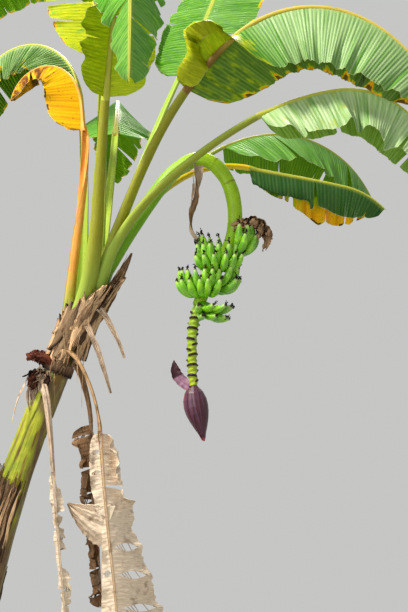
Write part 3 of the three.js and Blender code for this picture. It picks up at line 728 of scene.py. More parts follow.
LEAVES = [
    Leaf(7, at=(2300, -10, 20), stalk=(1340, [66, 66, 66, 64, 60], [40, 44]),
         blade=(1660, [60, 58, 56, 50, 26, -10], [46, 56, 62, 66, 70, 74]), base=40, neck=19,
         half=300, split=0.54, loose=3, droop=[[-2, -10, -35], [4, -8, -30]], curl=(-16, -14),
         tears=[[0.76], [0.34]], ruffle=(8, 6), pleat=3.6, tone=0.2, brown=(6, 0),
         folds=[(1, 0.0, 0.26, 0.84, 130)], pleat_shading=0.7),
    Leaf(3, at=(2250, 5, -45), stalk=(1130, [69, 67, 66, 61, 52], [-20, -20]),
         blade=(1575, [52, 40, 10, -22, -48, -64], [-20, -20, -16, -12, -9, -5]), base=44, neck=29,
         half=310, split=0.54, loose=3,
         droop=[[66, 50, -10, -74, -72, -68, -65, -62, -60, -60, -60],
                [-34, -54, -62, -70, -68, -66]], curl=(-14, -10),
         tears=[[0.1, 0.2, 0.82], [0.34, 0.74]], tear=-36, ruffle=(22, 6), bloom=0.7, pleat_shading=0.7,
         shade=(0.0, 0.75), brown=(0, 40), lime_and_glow=(0.46, 0.25), far=0.3, splits=1, tone=1.1,
         rib=(0.3, 0.8),
         folds=[(0, 0.0, 0.1, 0.0, -36), (0, 0.0, 0.1, 0.34, -150), (0, 0.1, 0.2, 0.0, 60),
                (0, 0.1, 0.2, 0.55, -200), (0, 0.21, 0.27, 0.0, -34)]),
    Leaf(4, at=(2250, 25, -55), stalk=(1247, [76, 42, 27], [-20, -10]),
         blade=(1182, [27, 8, -45, -72], [-10, 8]), base=44, neck=25, half=270, split=0.5, loose=3,
         droop=[[-44, -58, -64], [-40, -54, -62]], curl=(-12, -12), tears=[[0.72], [0.3, 0.78]],
         trim=[[1], [0.9]], ruffle=(38, 8), wave=290, scallop=0.12, bloom=1.0, shade=(0.0, 0.4),
         lime_and_glow=(0.1, 0.5), splits=1, tone=0.6),
    Leaf(5, at=(2250, 35, 30), stalk=(1157, [74, 61, 33, -10], [10, 8]),
         blade=(760, [-9, -10, -14, -50], [8, -12]), base=38, neck=23, half=240, split=0.6,
         loose=4, droop=[[-50, -58, -60], [-64, -72, -66]], curl=(-10, -8),
         tears=[[0.46], [0.3, 0.8]], trim=[[0.8], [0.35, 0.6, 0.95, 0.9, 0.5]], ruffle=(5, 16),
         bloom=0.05, shade=(0.9, 0.2), brown=(0, 6), splits=2, tone=0.4, ripe=(0.9, 0.45),
         stalk_skin=YELLOW_STALK, folds=[(0, 0.02, 0.42, 0.66, -150)],
         turned=(1, 0.16, 0.5, 0.72)),
    Leaf(6, at=(2280, 10, 50), stalk=(1134, [73, 47, 30], [25, 30]),
         blade=(1216, [30, 5, -25, -62], [30, 34]), base=36, neck=18, half=250, loose=4,
         droop=[[-34, -46, -56], [-40, -50, -60]], tears=[[0.28, 0.74], [0.66]], shade=(0.1, 0.3),
         pleat_shading=0.45),
    Leaf(10, at=(2280, 0, 60), stalk=(1180, [58, 58, 52], [80, 90]),
         blade=(1350, [52, 26, -30, -74], [90, 102]), base=38, neck=19, half=260, loose=6,
         droop=[[-22, -44, -60], [-22, -44, -60]], tears=[[0.24, 0.62, 0.8], [0.3, 0.7]],
         bloom=0.1, shade=(0.1, 0.2), rib=(0.0, 0.6), brown=(4, 6), splits=4),
    Leaf(2, at=(2150, -10, -60), stalk=(1080, [62, 84, 76], [-40, -60, -68]),
         blade=(1680, [76, 60, -16, -70, -86], [-68, -92]), base=52, neck=23, half=250, loose=8,
         droop=[[-24, -44, -60], [-24, -44, -60]], curl=(-16, -16),
         tears=[[0.28, 0.6, 0.76], [0.24, 0.64, 0.82]], ruffle=(12, 12), lime_and_glow=(0.36, 0.5),
         tone=0.85),
    Leaf(9, at=(2200, 26, 50), stalk=(1320, [78, 88, 90], [50, 80, 130]),
         blade=(1550, [90, 56, -8, -68], [130, 158]), base=40, neck=20, half=260, loose=6,
         droop=[[-20, -46, -60], [-20, -46, -60]], curl=(-16, -16),
         tears=[[0.28, 0.7], [0.22, 0.62, 0.8]], brown=(12, 12), lime_and_glow=(0.3, 0.6), splits=4),
    Leaf(8, at=(2120, -6, 48), stalk=(1200, [82, 86, 84], [60, 90, 150]),
         blade=(1300, [86, 34, -30, -60, -80], [150, 178]), base=36, neck=18, half=230, split=0.42,
         loose=8, droop=[[-20, -50, -62], [-26, -54, -62]], tears=[[0.24, 0.6, 0.8], [0.26, 0.7]],
         pleat=5.0, bloom=0.7, pleat_shading=1.0, shade=(0.1, 0.1), brown=(16, 10), splits=4),
    Leaf(1, at=(2050, -45, -25), stalk=(1060, [83, 83, 81], [0, -10, 120]),
         blade=(740, [86, 84, 66, 30, -14, -50, -78], [160, 168, 174]), base=34, neck=19, half=190,
         split=0.3, loose=4, curl=(-6, -10),
         droop=[[-72, -60, -48, -50, -56], [-66, -60, -46, -46, -52]], tears=[[0.7], [0.74]],
         ruffle=(6, 6), bloom=0.0, plump=1.5, brown=(0, 5), dying=0.84, withered=0.26, pleat=0.5,
         pleat_shading=0.06, splits=0, ripe=(0.95, 0.08), rib=(0.84, 0.0),
         trim=[[1, 1, 0.76, 0.5, 0.4], [1, 1, 0.76, 0.5, 0.4]], slot="dying_leaf"),
]


def half_width(leaf, t):
    """Half the width of a blade: it widens fast from its base and rounds off to the tip."""
    lobe = 1 - np.clip(t / BASE_END, 0, 1)
    fall = np.clip((t - TIP_START) / (1 - TIP_START), 0, 1)
    base = BASE_WIDTH + (1 - BASE_WIDTH) * np.sqrt(1 - lobe * lobe)
    tip = np.sqrt(1 - fall ** TIP_BLUNTNESS)
    return np.maximum(leaf.half * base * tip, LEAST_HALF)


class Border:
    """The edge between two strips of a blade: the gap at the rib and at the margin, the share
    of the width where it opens, and the width of a slit that closes again before the margin."""

    SLIT_START = 0.08
    SLIT_REACH = 0.84

    def __init__(self, rib=0.0, edge=0.0, opens=1.0, slit=0.0):
        self.rib, self.edge, self.opens, self.slit = rib, edge, opens, slit

    def half_gap(self, u):
        if self.slit:
            share = np.clip((u - self.SLIT_START) / self.SLIT_REACH, 0, 1)
            return self.slit / 2 * np.sin(math.pi * share) ** 1.5
        if self.opens <= 0:
            return (self.rib + (self.edge - self.rib) * u) / 2
        return self.edge / 2 * np.clip((u - self.opens) / max(1 - self.opens, 0.01), 0, 1) ** 0.8


def strips_of(leaf, side):
    """The strips of one half of a blade, each as its start and end along the rib, its borders
    there, its swing from the blade's droop, and a further swing of its outer part. With them
    come the starts, ends and swings of the wide strips between the long tears."""
    from_end, least, apart = 0.05, 0.14, 0.03
    sign, split = 1 if side == 0 else -1, leaf.split
    parts = [(0.0, split), (split, 1.0)] if split else [(0.0, 1.0)]
    seams = [t for half, t in leaf.seams if half == side]
    whole = []
    for first, last in parts:
        inside = [t for t in leaf.tears[side]
                  if first + 0.02 < t < last - 0.02 and t not in seams]
        cuts = [max(first, BLADE_START), *inside, min(last, BLADE_END)]
        for k, (start, end) in enumerate(zip(cuts, cuts[1:])):
            phase = 5.3 * k + 9.1 * start + 2.1 * leaf.order + sign
            whole.append((start, end, leaf.loose * math.sin(phase)))
    dice = np.random.default_rng(100 * leaf.order + side)
    strips = []
    for k, (start, end, swing) in enumerate(whole):
        joined = [k == 0 or start == split, k == len(whole) - 1 or end == split]
        outer = [Border() if free else Border(TEAR_AT_RIB, leaf.tear, 0.0) for free in joined]
        count = int(round(leaf.splits * (end - start) * 1.5))
        at = []
        if end - start > least:
            at = sorted(dice.uniform(start + from_end, end - from_end, count))
        at = [t for i, t in enumerate(at) if i == 0 or t - at[i - 1] > apart]
        at = sorted(at + [t for t in seams if start < t < end])
        borders = [outer[0]]
        for t in at:
            slit = dice.uniform(12, 30) if leaf.slits and dice.random() < 0.5 else 0.0
            slit = dice.uniform(24, 40) if t in seams else slit
            borders.append(Border(0.0, dice.uniform(3, 16), dice.uniform(0.35, 0.85), slit))
        borders.append(outer[1])
        ends = [start, *at, end]
        for sizes in zip(ends, ends[1:], borders, borders[1:]):
            extra = dice.normal(0, leaf.flutter) if at and not seams else 0.0
            strips.append((*sizes, swing, extra))
    return strips, whole


def lean_of(leaf, side, strip, knots, t, u):
    """How far a strip rises from the level, in degrees. Near the place where the model's blade
    is cut in two, the swings of its strips pass into one another."""
    _, _, left, right, swing, extra = strip
    nowhere, reach = -9, 70
    near = np.exp(-((t - (leaf.split or nowhere)) * leaf.length / reach) ** 2)
    lean = along(leaf.droop[side], t)
    lean = lean + swing * (1 - near) + np.interp(t, knots[:, 0], knots[:, 1]) * near
    opens = min(left.opens, right.opens, 0.9)
    lean = lean + extra * smooth(u, opens - 0.3, 1.0) + leaf.curl[side] * u
    for half, at, to, share, degrees in leaf.folds:
        if half == side:
            window = smooth(t, at - 0.03, at + 0.02) * (1 - smooth(t, to - 0.02, to + 0.03))
            lean = lean + degrees * smooth(u, share, share + 0.5 * (1 - share)) * window
    return lean


def outline_of(leaf, side, strip, t, u, wave, seed):
    """How far from the rib each point of a strip lies, and its distance from a margin."""
    start, end, left, right = strip[:4]
    far, inward, worn_round = 1e3, 400, 16
    run = t * leaf.length
    corner = np.ones_like(t)
    rim = np.full_like(t, far)
    for border, place in ((left, start), (right, end)):
        if border.edge > 0 and not border.slit:
            away = np.abs(t - place) * leaf.length
            closed = 1 - smooth(u, border.opens, border.opens + 0.1)
            corner -= 0.10 * np.exp(-away / worn_round) * smooth(u, 0.5, 1)
            rim = np.minimum(rim, away + inward * closed)
    uneven = 0.018 * wander(run, 210, seed) + leaf.worn * wander(run, 45, seed + 1)
    worn = 1 + u * (uneven - 0.015)
    worn = worn - leaf.scallop * (1 - side) * u * (0.5 + 0.5 * np.sin(wave + 1.2))
    base = np.sqrt(np.clip(1 - (1 - np.clip(t / 0.035, 0, 1)) ** 2, 0.04, 1))
    full = half_width(leaf, t) * along(leaf.trim[side], t)
    return full * u * corner * worn * base, np.minimum(rim, (1 - u) * full)


def dryness_of(leaf, side, t, u, rim, seed):
    """How far each point of a strip has turned, and the share of the bloom that is left."""
    run = t * leaf.length
    brown = leaf.brown[side] * np.clip(1.9 * wander(run, 150, seed + 6) + 0.1, 0, 2)
    dry = leaf.dying + 1.2 * (1 - smooth(rim, brown * 0.3, brown + 2)) * (brown > 1)
    # The lime band: partly real yellowing, partly a painted glow of light coming through the blade
    lime_and_glow, reach = leaf.lime_and_glow
    lime_and_glow = lime_and_glow * (leaf.far if side else 1.0)
    dry = dry + lime_and_glow * (1 - smooth(t, reach * 0.6, reach * 1.2))
    # The outer end browned: partly withering, partly painted shade
    dry = dry + leaf.withered * smooth(t + 0.05 * wander(run, 60, seed + 8), 0.38, 0.6)
    half, at, to, much = leaf.turned
    if half == side:
        dry = dry + much * smooth(t, at, to) ** 0.4 * smooth(u, 0.2, 0.7)
    return dry, smooth(t, reach * 0.7, reach * 1.7) if lime_and_glow > 0.3 else 1.0


def make_half(piece, leaf, side):
    """One half of a blade: its strips, thin and wavy, with top and underside apart."""
    sign, seed = 1 if side == 0 else -1, leaf.order * 10 + side
    strips, whole = strips_of(leaf, side)
    knots = np.array([[(a + b) / 2, swing] for a, b, swing in whole])
    u = across(ACROSS, 0)
    last_row = None
    for strip in strips:
        start, end, left, right = strip[:4]
        rows = max(3, int(round((end - start) * leaf.length / ROW)))
        first = start + left.half_gap(u) / leaf.length
        last = end - right.half_gap(u) / leaf.length
        t = first + (last - first) * down(rows)
        run = t * leaf.length
        wave = TURN * run / leaf.wave + 2.2 * wander(run, 500, seed + 2)
        out, rim = outline_of(leaf, side, strip, t, u, wave, seed)
        angle = np.radians(lean_of(leaf, side, strip, knots, t, u))
        steps = np.diff(out, axis=1)
        middles = (angle[:, 1:] + angle[:, :-1]) / 2
        flat, high = (np.pad(np.cumsum(part(middles) * steps, axis=1), ((0, 0), (1, 0)))
                      for part in (np.cos, np.sin))
        lift = leaf.ruffle[side] * u ** 2.2 * (np.sin(wave) + 0.4 * np.sin(2.3 * wave + seed))
        pleat = np.sin(TURN * run / PLEAT_PITCH + 1.4 * wander(run, 320, seed + 7))
        pleat = pleat * smooth(u, 0.02, 0.16) * (1 - 0.4 * smooth(u, 0.85, 1))
        lift += leaf.pleat * pleat
        lift += 9 * wander(run, 420, seed + 3) * u
        centre, ahead, to_right, up = leaf.blade_line.frame(t)
        normal = -sign * to_right * np.sin(angle)[..., None] + up * np.cos(angle)[..., None]
        middle = moved(centre, to_right, sign * flat, up, high, ahead, VEIN_SWEEP * out,
                       normal, lift)
        if leaf.crumple:
            creases = waves(middle, 95, seed + 4) + 0.5 * waves(middle, 38, seed + 5)
            middle = moved(middle, normal, leaf.crumple * creases * smooth(u, 0, 0.3))
        thick = normal * (LEAF_SKIN / 2 * (1 - 0.55 * u ** 4))[..., None]
        dry, fresh = dryness_of(leaf, side, t, u, rim, seed)
        # Painted shade in the troughs between the pleats, with the bloom, partly a painted sheen,
        # kept to their crests as a painted highlight, and each side's own painted shade
        trough_shade = leaf.pleat_shading * (0.5 - 0.5 * pleat)
        bloom = leaf.bloom * (1 - 0.8 * trough_shade) * fresh
        faces, slots = [middle + thick, middle - thick], [0, 1]
        looks = [dict(pale=share * bloom, dark=np.clip(shade + trough_shade, 0, 1))
                 for share, shade in zip((1.0, 0.3), leaf.shade)]
        if side:
            faces, slots, looks = faces[::-1], slots[::-1], looks[::-1]
        piece.shell(*faces, grid(run, sign * out), slots, looks[1], rim=rim, dry=dry, **looks[0])
        if last_row is not None and left.slit:
            make_strands(piece, last_row, middle[0], normal[0], seed)
        last_row = middle[-1]


def make_strands(piece, one, other, normal, seed):
    """Fibres that still bridge a slit, from one of its sides to the other."""
    dice = np.random.default_rng(seed)
    reach = np.linspace(-0.05, 1.05, 5)[:, None]
    for k in range(3, ACROSS - 2):
        if dice.random() < 0.6:
            a, b = one[k], other[min(k + 1, ACROSS)]
            side = unit(np.cross(b - a, normal[k]))
            ribbon(piece, a + (b - a) * reach, side + 0 * reach, normal[k] + 0 * reach,
                   half=2.4, thick=1.0, cells=2, dark=0.5)


def make_rib(piece, leaf, **numbers):
    """The rib under a blade: it starts like the end of the stalk, and is round below, with a
    shallow groove on top."""
    neck, tip, depth = leaf.neck, 4, STALK_DEPTH * leaf.plump

    def section(t, angle):
        onward = smooth(t, 0.0, 0.09)
        share = 1 + (RIB_SHARE - 1) * onward
        r = neck * share + (tip - neck * share) * t
        r = r * (1 - smooth(t, 0.96, 1.0) * 0.6)
        deep = depth + (1 - depth) * onward
        s = np.sin(angle)
        rise = np.where(s > 0, 1.1 * s - (1.35 - 0.6 * onward) * s ** 3, s)
        return r * np.cos(angle), r * (rise * deep - 0.35 * onward)

    tube_on(piece, leaf.blade_line, section, rings=90, sides=14, slot=2, **numbers)


def stalk_width(leaf, t):
    return leaf.neck + (leaf.base - leaf.neck) * np.clip(1 - t, 0, 1) ** STALK_FALL


def make_stalk(leaf):
    """A leaf's stalk, with its groove on top and thin brown edges along it."""
    piece = Piece(leaf.name + "_stalk")
    line = leaf.stalk_line
    much, start = leaf.ripe

    def section(t, angle):
        w = stalk_width(leaf, t) * (1 + 0.02 * wander(t * line.length, 260, leaf.order))
        s = np.sin(angle)
        rise = np.where(s > 0, 1.22 * s - 1.62 * s ** 3, s)
        return w * np.cos(angle), w * STALK_DEPTH * leaf.plump * rise

    # Olive by the leaf's tone, and more olive and darker on the underside, which is painted shade
    def pale(t, angle):
        return leaf.tone * smooth(t, -0.1, 0.5) * (0.7 + 0.6 * smooth(-np.sin(angle), -0.3, 0.7))

    tube_on(piece, line, section, rings=100, sides=32, pale=pale,
            dark=lambda t, angle: 0.8 * np.exp(-((np.sin(angle) - 0.42) / 0.1) ** 2),
            dry=lambda t, angle: much * smooth(t, start, start + 0.3))
    make_clasp(piece, leaf)
    piece.build([leaf.stalk_skin], "leaf_stalk")


def make_clasp(piece, leaf):
    """The stalk's sheath: from the stalk's foot down the stem, hugging it ever more widely."""
    line = leaf.stalk_line
    foot, *aside = leaf.at
    below, above = 250.0, 0.26 * line.length
    v = down(46, -below, above)
    at = np.minimum(foot + v, STEM_TOP)
    stem_point, stem_ahead, _, _ = stem.frame(at / STEM_LINE)
    stalk_point, stalk_ahead, _, stalk_up = line.frame(np.clip(v, 0, None) / line.length)
    blend = smooth(v, -140, above * 0.8)
    b = blend[..., None]
    centre = stem_point * (1 - b) + stalk_point * b
    ahead = unit(stem_ahead * (1 - b) + stalk_ahead * b)
    out = 0.55 * unit(np.array([*aside, 0.0])) + 0.45 * level(line.headings[0])
    out = out * (1 - b) - stalk_up * b
    out = unit(out - ahead * (out * ahead).sum(-1, keepdims=True))
    right = np.cross(ahead, out)
    layer = 15 - abs(foot - STEM_TOP) / 25
    width = stalk_width(leaf, np.clip(v, 0, None) / line.length)
    width = width * (1.04 - 0.1 * smooth(v, above * 0.5, above))
    radius = stem_radius(at) + layer * smooth(v, -below, 160 - below) - 4
    radius = radius * (1 - blend) + width * blend
    depth = 1 - (1 - STALK_DEPTH * leaf.plump) * blend
    wrap = np.radians(118 - 30 * smooth(v, -below, 0) - 6 * smooth(v, 0, above))
    wrap = wrap * (1 + 0.05 * wander(v, 170, leaf.order + 40))
    fan = across(18)
    angle = fan * wrap
    thick = 1.4 + 5.5 * (1 - np.abs(fan) ** 3) * (1 - 0.5 * smooth(v, 0, above))
    faces = [moved(centre, out, r * depth * np.cos(angle), right, r * np.sin(angle))
             for r in (radius + 0.5 * np.sin(fan * 40), radius - thick)]
    margin = np.exp(-(1 - np.abs(fan)) / 0.035)
    brown = 0.9 * smooth(-v + 30 * wander(fan * 6, 2.0, leaf.order), 20, 110)
    much, start = leaf.ripe
    up_stalk = v / line.length
    piece.shell(*faces, grid(v, angle * CLASP_MEAN), dark=np.clip(0.8 * margin + brown, 0, 1),
                pale=1.3 * leaf.tone * smooth(up_stalk, -0.1, 0.5),
                dry=much * smooth(up_stalk, start, start + 0.3))


def make_leaves():
    for leaf in LEAVES:
        make_stalk(leaf)
        piece = Piece(leaf.name + "_blade")
        for side in (0, 1):
            make_half(piece, leaf, side)
        gold, brown = leaf.rib
        make_rib(piece, leaf, pale=0.5, dry=gold,
                 dark=lambda t, angle: brown * (1 - smooth(t, 0.14, 0.24)))
        piece.build([LEAF_TOP, LEAF_UNDER, RIB], leaf.slot,
                    leaf.name + "_blade_inner", leaf.name + "_blade_outer")


class DryLeaf(Leaf):
    """A withered leaf that hangs down the stem. thin is the share of its thickness that its
    stalk has kept, and flap a torn part that has swung up."""

    PREFIX = "dry_leaf_"
    FIRST_ORDER = 10

    split, tear, ruffle, pleat, crumple = None, 30, (12, 12), 0.8, 3.2
    bloom, pleat_shading, brown, base, thin, flap = 0.0, 0.0, (4, 4), 17, 1.0, None
    skin, rib_skin, slot = DRY, DRY_RIB, "dry_leaf"


DRY_LEAVES = [
    DryLeaf(1, at=(2000, -32, -48), stalk=(500, [-18, -58, -72, -86], [-35, -8]),
            blade=(1210, [-86, -83, -86], [0, 0]), roll=-80, neck=12, half=200, loose=12, tear=34,
            droop=[[-12, -20, -34], [-18, -10, -22]], curl=(24, -22),
            tears=[[0.16, 0.34, 0.56, 0.8], [0.22, 0.46, 0.7, 0.86]],
            trim=[[0.33, 0.33, 0.16, 0.3, 0.55, 0.5],
                  [0.85, 0.82, 0.8, 0.82, 0.88, 1.02, 1.2, 1.6, 1.75, 1.5, 1.2]], ruffle=(10, 12),
            brown=(0, 0), splits=0, flutter=9, worn=0.03,
            seams=[(0, 0.08), (0, 0.16), (0, 0.34), (0, 0.56), (1, 0.46), (1, 0.57), (1, 0.7),
                   (1, 0.78)], folds=[(1, 0.0, 0.26, 0.45, 150), (1, 0.84, 1.0, 0.6, 120)],
            thin=0.6,
            flap=dict(at=0.38, length=225, rises=[20, 30, 40], widths=[215, 170, 95, 10])),
    DryLeaf(2, at=(1810, -44, -50), stalk=(480, [-24, -78, -84, -85], [-76, -40, -10]),
            blade=(900, [-85, -84, -86], [-10, 0]), roll=-70, neck=11, half=92, loose=16,
            droop=[[-40, -50, -50], [-40, -50, -50]], curl=(10, -20),
            tears=[[0.3, 0.62], [0.22, 0.5, 0.76]], splits=14, slits=True, flutter=40, worn=0.12,
            trim=[[0.45], [0.5]], folds=[(0, 0.0, 1.0, 0.4, -120)], rib_skin=DRY_STRAP),
    DryLeaf(3, at=(1960, 10, 56), stalk=(420, [-20, -66, -84], [70, 40]),
            blade=(950, [-84, -86, -86], [40, 30]), roll=20, neck=11, half=120, loose=14,
            droop=[[-40, -50, -56], [-40, -50, -56]], curl=(-18, -18),
            tears=[[0.3, 0.64], [0.24, 0.52, 0.78]], splits=9, slits=True, flutter=18, worn=0.05,
            folds=[(1, 0.1, 0.9, 0.5, -130)], skin=SHEATH_INSIDE, rib_skin=SHEATH_INSIDE,
            slot="dry_sheath"),
]


def make_dry_leaf(leaf):
    def section(t, angle):
        thin = 1 - (1 - leaf.thin) * smooth(t, 0.05, 0.3) * (1 - smooth(t, 0.8, 1))
        r = (leaf.base + (leaf.neck - leaf.base) * t) * thin
        folds = 1 + 0.22 * np.cos(5 * angle + 3 * t) * smooth(t, 0, 0.1)
        return r * folds * np.cos(angle), r * 0.8 * folds * np.sin(angle)

    stalk = Piece(leaf.name + "_stalk")
    tube_on(stalk, leaf.stalk_line, section, rings=60, sides=30)
    stalk.build([leaf.rib_skin], leaf.slot)
    blade = Piece(leaf.name + "_blade")
    for side in (0, 1):
        make_half(blade, leaf, side)
    make_rib(blade, leaf)
    if leaf.flap:
        make_flap(blade, leaf.blade_line, **leaf.flap)
    blade.build([leaf.skin, leaf.skin, leaf.rib_skin], leaf.slot)


def make_flap(piece, rib_line, at, length, rises, widths):
    """A torn part of the blade that has swung up and ends in a point."""
    line = Line(rib_line.point(at) + [0, 10, 0], length, rises, [180, 186], -90)
    t, u = down(59), across(32)
    centre, _, side, normal = line.frame(t)
    half = along(widths, t) / 2 * (1 + 0.06 * wander(t, 0.2, 5))
    rows = moved(centre, side, half * u)
    folds = 7 * np.sin(9 * u + 2 * t) + 3.5 * np.sin(23 * u + 1) + 3 * waves(rows, 60, 78)
    rows = moved(rows, normal, folds * smooth(t, 0, 0.25))
    body = normal * (0.9 - 0.3 * u ** 2 + 0 * folds)[..., None]
    piece.shell(rows + body, rows - body, grid(half * u, t * line.length),
                dark=0.55 * smooth(u, 0.2, 1.0))


# The lines of the bunch, each from the end of the one before

fruit_stalk = Line(beside(STEM_TOP + 2 * GAP, 0, 0), STALK_LENGTH, STALK_RISES, [0, 0])
bunch_axis = Line(fruit_stalk.next(), BUNCH_LENGTH, BUNCH_RISES, [0, 0])
rachis = Line(bunch_axis.next(), RACHIS_LENGTH, RACHIS_RISES, [0, 0])
bud = Line(rachis.next(), BUD_LENGTH, BUD_RISES, [0, 0])


# Withered straps, torn sheath ends and the bracts of the bunch


class Strap(Row):
    """A strap by the model's own row. twist holds degrees along it, trough how deep it is folded
    lengthwise, shreds the number of slivers that come off it, crumple how far it waves, wine the
    place from which it is dark red, and rags the rags on it."""

    thickness, trough, ribbed, shreds, crumple, wine, rags = 4, 0.5, True, 0, 0, 2, ()
    materials, slot = [SHEATH, SHEATH_INSIDE], "dry_sheath"

    def profile(self, u):
        """How far its face lies out, at a share of its width."""
        if self.ribbed:
            return self.trough * (u * u + 0.4 * np.cos(11 * u))
        return self.trough * u * u + 0.05 * np.cos(14 * u)


STRAPS = [
    Strap(name="bud_bract",
          line=Line(bud.point(0.05) + [-16, -8, 4], 168, [26, 42, 78, 86], [188, 180], 62),
          widths=[40, 62, 58, 44, 6], twist=[20, 10, 10, 30, 50], ribbed=False, wine=0.5,
          materials=[BUD_INSIDE, BUD], slot="bud"),
    Strap(name="dry_bract_strap",
          line=Line(fruit_stalk.point(0.665) + [0, -24, -12], 415, [-86, -92, -104, -96, -40],
                    [0, 0], -70), widths=[62, 46, 34, 30, 18], twist=[0, 40, 130, 250, 330],
          trough=0.7, ribbed=False, shreds=2, materials=[DRY_STRAP, SHEATH_INSIDE],
          slot="dry_leaf"),
    Strap(name="dry_bract_cap",
          line=Line(bunch_axis.point(0.13) + [18, -16, 0], 260, [62, 24, -58, -98], [-14, -8], 32),
          widths=[44, 92, 96, 76, 30], twist=[0, 0, 10, 60], trough=-0.5, ribbed=False, shreds=2,
          crumple=8,
          rags=[(9, (0.1, 0.6), (-6, -14, 0), (50, 90), (-40, 30), (12, 26), 0, (0.0, 0.6)),
                (8, (0.5, 0.95), (0, -8, 0), (40, 90), (-100, -40), (9, 20), 0, (0.0, 0.8))]),
    Strap(name="dry_stalk_1",
          line=Line(beside(2180, -42, -46), 470, [-20, -64, -72, -74], [-50, -12, 0], -50),
          widths=[34, 30, 24, 16], twist=[0, 10, -12, 20], thickness=5, trough=0.45, shreds=3,
          materials=[DRY_STRAP, DRY_STRAP], slot="dry_leaf"),
    Strap(name="dry_stalk_2",
          line=Line(beside(2240, 0, -52), 360, [-12, -54, -66, -70], [-42, -8, 0], -50),
          widths=[34, 30, 22, 14], twist=[0, -14, 10, -16], thickness=5, trough=0.45, shreds=3,
          materials=[DRY_STRAP, DRY_STRAP], slot="dry_leaf"),
    Strap(name="torn_sheath_1", line=Line(beside(2190, 52, -16), 350, [46, 60, 66], [0, 0], 50),
          widths=[74, 66, 46, 10], twist=[0, 8, 24], shreds=5),
    Strap(name="torn_sheath_2", line=Line(beside(2120, 54, -22), 300, [40, 58, 62], [-6, 0], 60),
          widths=[70, 60, 40, 10], twist=[0, -8, -26], shreds=5),
]


def make_straps():
    for order, strap in enumerate(STRAPS):
        piece = Piece(strap.name)
        t = np.linspace(0, 1, 60)
        centre, _, side, normal = strap.line.frame(t)
        side, normal = turned(side, normal, along(strap.twist, t) + 8 * wander(t, 0.3, order))
        half = along(strap.widths, t) / 2 * (1 + 0.06 * wander(t, 0.12, order + 9))
        centre = moved(centre, normal, -half * strap.trough * 0.4,
                       normal, strap.crumple * wander(t, 0.11, order + 3))
        shade = 0.2 + 0.25 * wander(t, 0.2, order + 20)
        shade = np.maximum(shade, smooth(t, strap.wine - 0.03, strap.wine + 0.03))
        ribbon(piece, centre, side, normal, half, strap.thickness, cells=12,
               profile=strap.profile, slots=(0, 1), dark=np.clip(shade, 0, 1)[:, None])
        make_shreds(piece, strap, order)
        make_rags(piece, strap.line, strap.rags, np.random.default_rng(order + 50))
        piece.build(strap.materials, strap.slot)


def make_shreds(piece, strap, order):
    """Slivers that split off a strap's edges and bend away from it."""
    line, dice = strap.line, np.random.default_rng(order + 70)
    for _ in range(strap.shreds):
        first = dice.uniform(0.05, 0.5)
        t = np.linspace(first, min(first + dice.uniform(0.3, 0.5), 1.0), 16)
        past = t - first
        centre, _, side, normal = line.frame(t)
        out = along(strap.widths, t) / 2 * dice.choice([-0.85, 0.85])
        bend = dice.uniform(-0.35, 0.35) * line.length * past ** 2
        centre = moved(centre, side, out, normal, bend)
        side, normal = turned(side, normal, 60 * wander(t, 0.4, order) + dice.uniform(-40, 40))
        half = dice.uniform(3, 8) * (1 - 0.9 * smooth(past / past[-1], 0.3, 1))
        ribbon(piece, centre, side, normal, half, thick=2, cells=4,
               profile=lambda u: 0.4 * u * u, slots=(0, 1), dark=0.2)


def make_rags(piece, line, kinds, dice):
    """Crumpled rags along a line. Each kind holds how many, from where to where on the line, the
    offset from it, lengths, rises, half widths, material slot and darkness."""
    for count, at, offset, lengths, rises, halves, slot, darkness in kinds:
        for _ in range(count):
            start = line.point(dice.uniform(*at)) + offset + dice.uniform(-16, 16, 3)
            heading = 180 + dice.uniform(-70, 70)
            rag = Line(start, dice.uniform(*lengths), list(dice.uniform(*rises, 4)),
                       [heading, heading + dice.uniform(-60, 60)], dice.uniform(-90, 90))
            t = np.linspace(0, 1, 13)
            centre, _, side, normal = rag.frame(t)
            side, normal = turned(side, normal, 50 * wander(t, 0.6, int(heading)))
            half = dice.uniform(*halves) * (1 - 0.7 * smooth(t, 0.5, 1))
            half = half * (1 + 0.15 * wander(t, 0.2, 3))
            ribbon(piece, centre, side, normal, half, thick=2.4, cells=7,
                   profile=lambda u: 0.5 * u * u + 0.1 * np.cos(9 * u), slots=(slot, slot),
                   dark=dice.uniform(*darkness))


class Sheath(Row):
    """A withered sheath that still wraps the stem, by the model's own row. It is made of torn
    strips: how many, how broad in radians, how far past its start and its end they begin and
    stop, and how far they stand off. slant is how much higher it reaches on its right, fibres
    how many hang from it, and collar whether it has the dark torn edge."""

    strips, broad, low, high, stand = 26, (0.05, 0.2), (-70, 60), (-50, 70), 11
    slant, fibres, collar = 0, 0, False


SHEATHS = [
    Sheath(start=2010, end=2290, facing=8, wrap=350, flare=6, ragged=14, strips=72,
           broad=(0.25, 0.7), low=(-90, 90), high=(-60, 22), stand=16, slant=130, fibres=7),
    Sheath(start=1850, end=1975, facing=36, wrap=130, flare=4, ragged=12, strips=40,
           broad=(0.14, 0.5), low=(18, 70), high=(30, 170), stand=9, slant=30, collar=True),
    Sheath(start=930, end=1300, facing=40, wrap=150, flare=9, ragged=34),
    Sheath(start=420, end=840, facing=150, wrap=150, flare=8, ragged=30),
]


